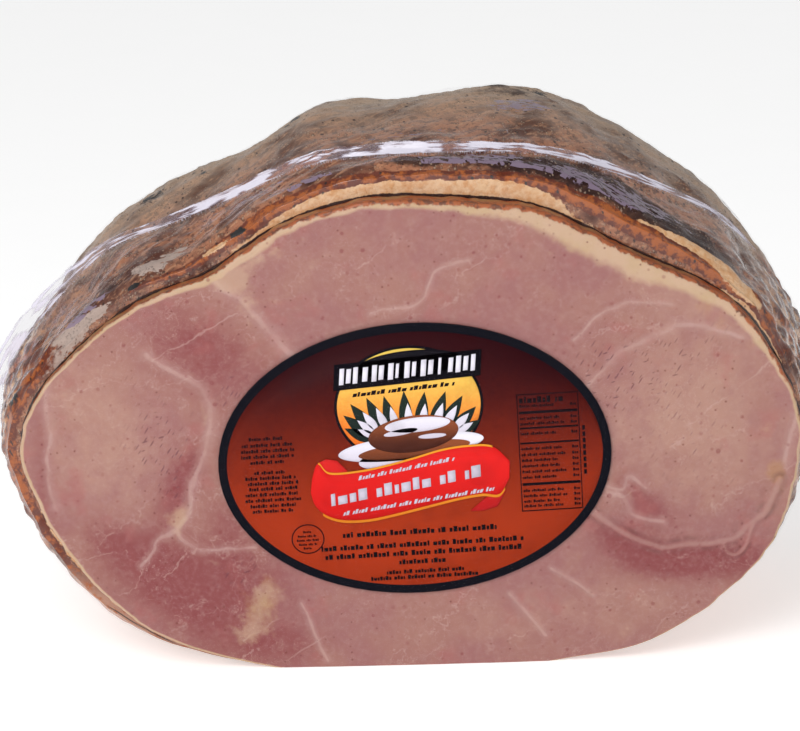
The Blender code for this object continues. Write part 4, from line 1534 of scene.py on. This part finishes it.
# %% [markdown]
# ## Camera, floor and light
# The eye is a metre away, straight in front of the cut face and 15 degrees above it, through
# a long lens. The floor and the air round the ham are white, as in a shop's catalogue, and
# one broad soft lamp in front, left of the eye, gives the glaze something to mirror.

# %% Camera
VIEW_TARGET = Vector((-0.003, FACE_Y * MM, 0.101))
VIEW_DISTANCE = 1.0
VIEW_UP_DEGREES = 15.0
VIEW_ROLL_DEGREES = -1.44
VIEW_LENS = 141.65


def make_camera():
    """A camera that looks at the target from in front and above, rolled a little."""
    lens = bpy.data.cameras.new("view")
    lens.lens = VIEW_LENS
    lens.sensor_width = 36.0
    lens.clip_start = 0.05
    made = bpy.data.objects.new("view", lens)
    bpy.context.scene.collection.objects.link(made)
    up = math.radians(VIEW_UP_DEGREES)
    offset = Vector((0.0, -math.cos(up), math.sin(up))) * VIEW_DISTANCE
    aim = (-offset).to_track_quat("-Z", "Y").to_matrix().to_4x4()
    roll = Matrix.Rotation(math.radians(VIEW_ROLL_DEGREES), 4, "Z")
    made.matrix_world = Matrix.Translation(VIEW_TARGET + offset) @ aim @ roll
    bpy.context.scene.camera = made
    return made


make_camera()

# %% [markdown]
# The floor glows a little, so that it stays white where the ham's soft shadow ends.

# %% Floor, lamp and white surroundings
FLOOR_HALF = 3.0
FLOOR_PALE, FLOOR_WHITE = (0.90, 0.90, 0.90, 1.0), (0.93, 0.93, 0.93, 1.0)
FLOOR_GLOW = 0.5
FLOOR_DROP = 0.05
LAMP_PLACE, LAMP_SIZE, LAMP_POWER = (-0.45, -1.10, 0.95), 0.8, 12.0
SKY_ABOVE, SKY_BESIDE = 0.30, 0.62
BOUNCES = {"max_bounces": 4, "diffuse_bounces": 2, "glossy_bounces": 2}


def make_floor():
    """A wide pale floor just under the ham."""
    points = np.array([[-1, -1, 0], [1, -1, 0], [1, 1, 0], [-1, 1, 0]], float) * FLOOR_HALF / MM
    points[:, 2] = -FLOOR_DROP
    floor = new_mesh("floor", points, [np.array([[0, 1, 2, 3]])], smooth=False)
    made, shader = new_finish("pale floor")
    where = here()
    put(shader.inputs["Base Color"], blend(noise(where, 40.0, 2.0), FLOOR_PALE, FLOOR_WHITE))
    set_sockets(shader, {"Roughness": 0.8, "Emission Color": (1.0, 1.0, 1.0, 1.0),
                         "Emission Strength": FLOOR_GLOW})
    finish_with(floor, made)


def make_lamp(name, location, size, power):
    """A square soft lamp that faces the ham."""
    light = bpy.data.lights.new(name, "AREA")
    light.size = size
    light.energy = power
    made = bpy.data.objects.new(name, light)
    made.location = location
    made.rotation_euler = (Vector((0.0, 0.0, 0.07)) - Vector(location)).to_track_quat("-Z", "Y").to_euler()
    bpy.context.scene.collection.objects.link(made)


def make_surroundings(above, beside):
    """White to the eye, and as light: `above` from the top of the sky, `beside` from level."""
    world = bpy.data.worlds.new("white air")
    bpy.context.scene.world = world
    world.use_nodes = True
    tree = Bench.tree = world.node_tree
    height = node("ShaderNodeSeparateXYZ", [node("ShaderNodeTexCoord").outputs["Generated"]]).outputs[2]
    sky = node("ShaderNodeMapRange", {0: height, 1: -0.1, 2: 0.9, 3: beside, 4: above}).outputs[0]
    seen = node("ShaderNodeLightPath").outputs["Is Camera Ray"]
    strength = node("ShaderNodeMix", {0: seen, 2: sky, 3: 1.0}, data_type="FLOAT").outputs[0]
    set_sockets(tree.nodes["Background"], {"Color": (1.0, 1.0, 1.0, 1.0), "Strength": strength})


make_floor()
make_lamp("soft lamp in front", LAMP_PLACE, LAMP_SIZE, LAMP_POWER)
make_surroundings(SKY_ABOVE, SKY_BESIDE)
bpy.context.scene.view_settings.view_transform = "Standard"
for kind, most in BOUNCES.items():
    setattr(bpy.context.scene.cycles, kind, most)
